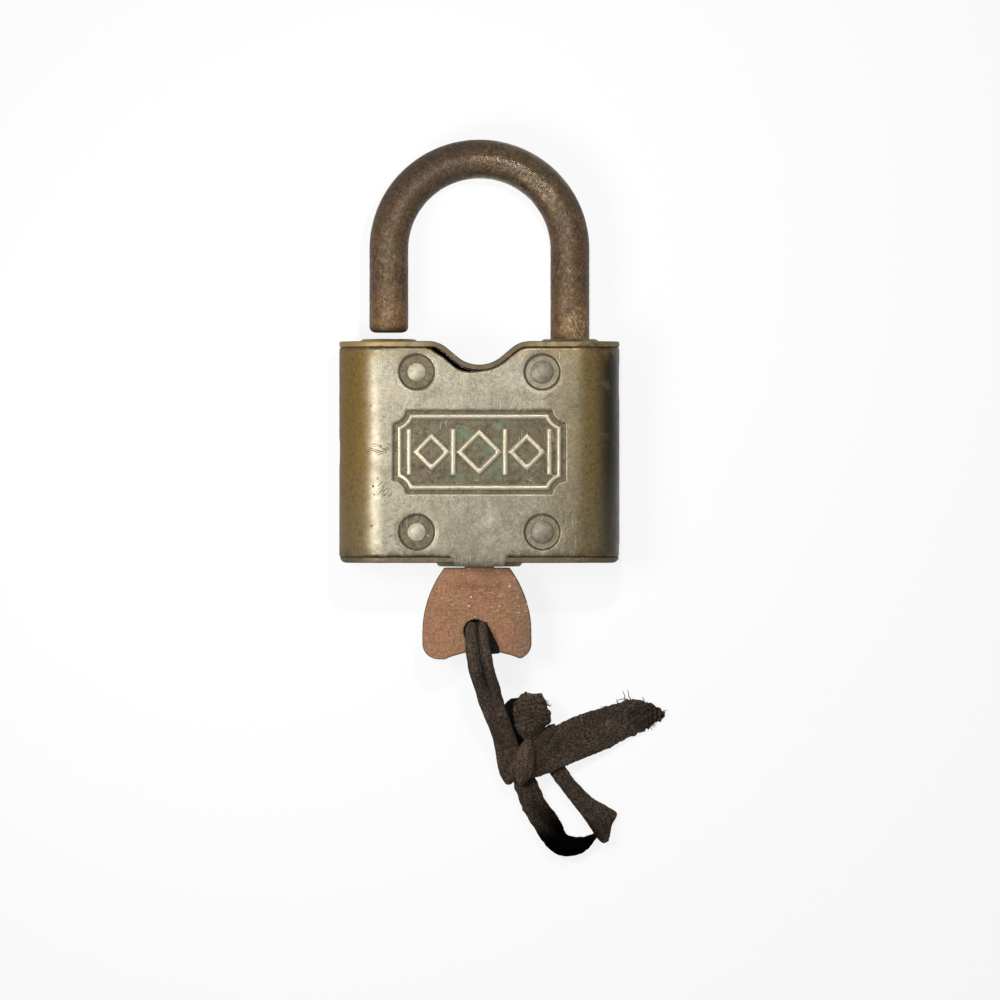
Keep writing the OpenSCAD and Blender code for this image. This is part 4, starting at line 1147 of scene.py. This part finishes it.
def add_lift_spring():
    """The coil under the heel, copied from the CAD part; on the lock it shortens as the shackle is pushed
    down.
    """
    piece = add_object("lift_coil", NODES["lift_spring"].data.copy())
    give(piece, INNER_STEEL)
    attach(piece, "case")
    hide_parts("lift_spring")
    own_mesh(piece)
    return piece


add_case_sheet()
add_shackle()
add_lift_spring()
worn_copy("key", "key", KEY, voxel=0.14, rounding=16, pit=0.06, pit_size=1.2, seed=60)
for i, plate in enumerate(("top_plate", "bottom_plate")):
    worn_copy(plate, "case", CAP_STEEL,
              voxel=0.2, rounding=2, pit=0.05, pit_size=1.6, seed=70 + i)
for i, level in enumerate(("upper", "lower")):
    worn_copy(f"rivet_{level}_left", "case", RIVET_BRIGHT,
              voxel=0.08, rounding=1, pit=0.04, pit_size=0.8, seed=72 + i)
    worn_copy(f"rivet_{level}_right", "case", RIVET_DARK,
              voxel=0.1, rounding=2, pit=0.04, pit_size=0.8, seed=74 + i)

give(NODES["keyway_plug"], PLUG)
for name in ("toe_socket", "heel_guide", "heel_pin", "spring_follower", "plug_clip", "wafer_springs", "bolt"):
    give(NODES[name], INNER_STEEL)
for name in ("plug_housing", "wafer_1", "wafer_2", "wafer_3", "wafer_4", "bolt_guide"):
    give(NODES[name], INNER_BRASS)

# ---------------------------------------------------------------- floor and light

FLOOR_HALF_M = 1.5
FLOOR_DROP = 0.02
FLOOR_SHADE, FLOOR_GLOW = 0.9, 0.86
WORLD_STRENGTH = 0.2
WHITE = (1, 1, 1, 1)


def seen_rays(tree):
    """1 for every ray that sees the background, so that metal shows it too, and 0 for diffuse light."""
    rays = add_node(tree, "ShaderNodeLightPath").outputs
    seen = rays["Is Camera Ray"]
    for name in ("Is Glossy Ray", "Is Transmission Ray"):
        seen = add_node(tree, "ShaderNodeMath", {0: seen, 1: rays[name]}, operation="MAXIMUM").outputs[0]
    return seen


def add_floor():
    """A white floor that keeps the object's shadow."""
    mesh = bpy.data.meshes.new("floor")
    corners = [(-1, -1), (1, -1), (1, 1), (-1, 1)]
    mesh.from_pydata([(x * FLOOR_HALF_M, y * FLOOR_HALF_M, 0) for x, y in corners], [], [(0, 1, 2, 3)])
    floor = add_object("floor", mesh)
    floor.location.z = -FLOOR_DROP * MM
    material = bpy.data.materials.new("floor_white")
    material.use_nodes = True
    tree = material.node_tree
    tree.nodes.clear()
    diffuse = add_node(tree, "ShaderNodeBsdfDiffuse", {"Color": (FLOOR_SHADE, FLOOR_SHADE, FLOOR_SHADE, 1)})
    glow = add_node(tree, "ShaderNodeEmission", {"Strength": 1.0})
    share = add_node(tree, "ShaderNodeMath", {0: seen_rays(tree), 1: FLOOR_GLOW}, operation="MULTIPLY")
    shaders = {0: share.outputs[0], 1: diffuse.outputs[0], 2: glow.outputs[0]}
    mixed = add_node(tree, "ShaderNodeMixShader", shaders)
    add_node(tree, "ShaderNodeOutputMaterial", {"Surface": mixed.outputs[0]})
    mesh.materials.append(material)


def add_lamp(name, place_mm, aim_mm, size_mm, watts):
    """A square lamp that faces the place it aims at and isn't seen itself."""
    data = bpy.data.lights.new(name, "AREA")
    data.energy = watts
    data.size = size_mm * MM
    lamp = add_object(name, data)
    lamp.location = Vector(place_mm) * MM
    lamp.rotation_euler = (Vector(place_mm) - Vector(aim_mm)).to_track_quat("Z", "Y").to_euler()
    lamp.visible_camera = False


def add_light():
    """A soft lamp on the left, a small one over the bend, and a dim world that looks white where seen."""
    world = bpy.data.worlds.new("world")
    world.use_nodes = True
    tree = world.node_tree
    tree.nodes.clear()
    dim = add_node(tree, "ShaderNodeBackground", {"Color": WHITE, "Strength": WORLD_STRENGTH})
    white = add_node(tree, "ShaderNodeBackground", {"Color": WHITE})
    shaders = {0: seen_rays(tree), 1: dim.outputs[0], 2: white.outputs[0]}
    mixed = add_node(tree, "ShaderNodeMixShader", shaders)
    add_node(tree, "ShaderNodeOutputWorld", {"Surface": mixed.outputs[0]})
    bpy.context.scene.world = world
    add_lamp("soft_key", place_mm=(-76, -8, 150), aim_mm=(0, 0, 10), size_mm=62, watts=0.21)
    add_lamp("soft_glint", place_mm=(18, 74, 180), aim_mm=(10, 50, 0), size_mm=14, watts=0.17)


add_floor()
add_light()
bpy.context.scene.view_settings.view_transform = "Standard"
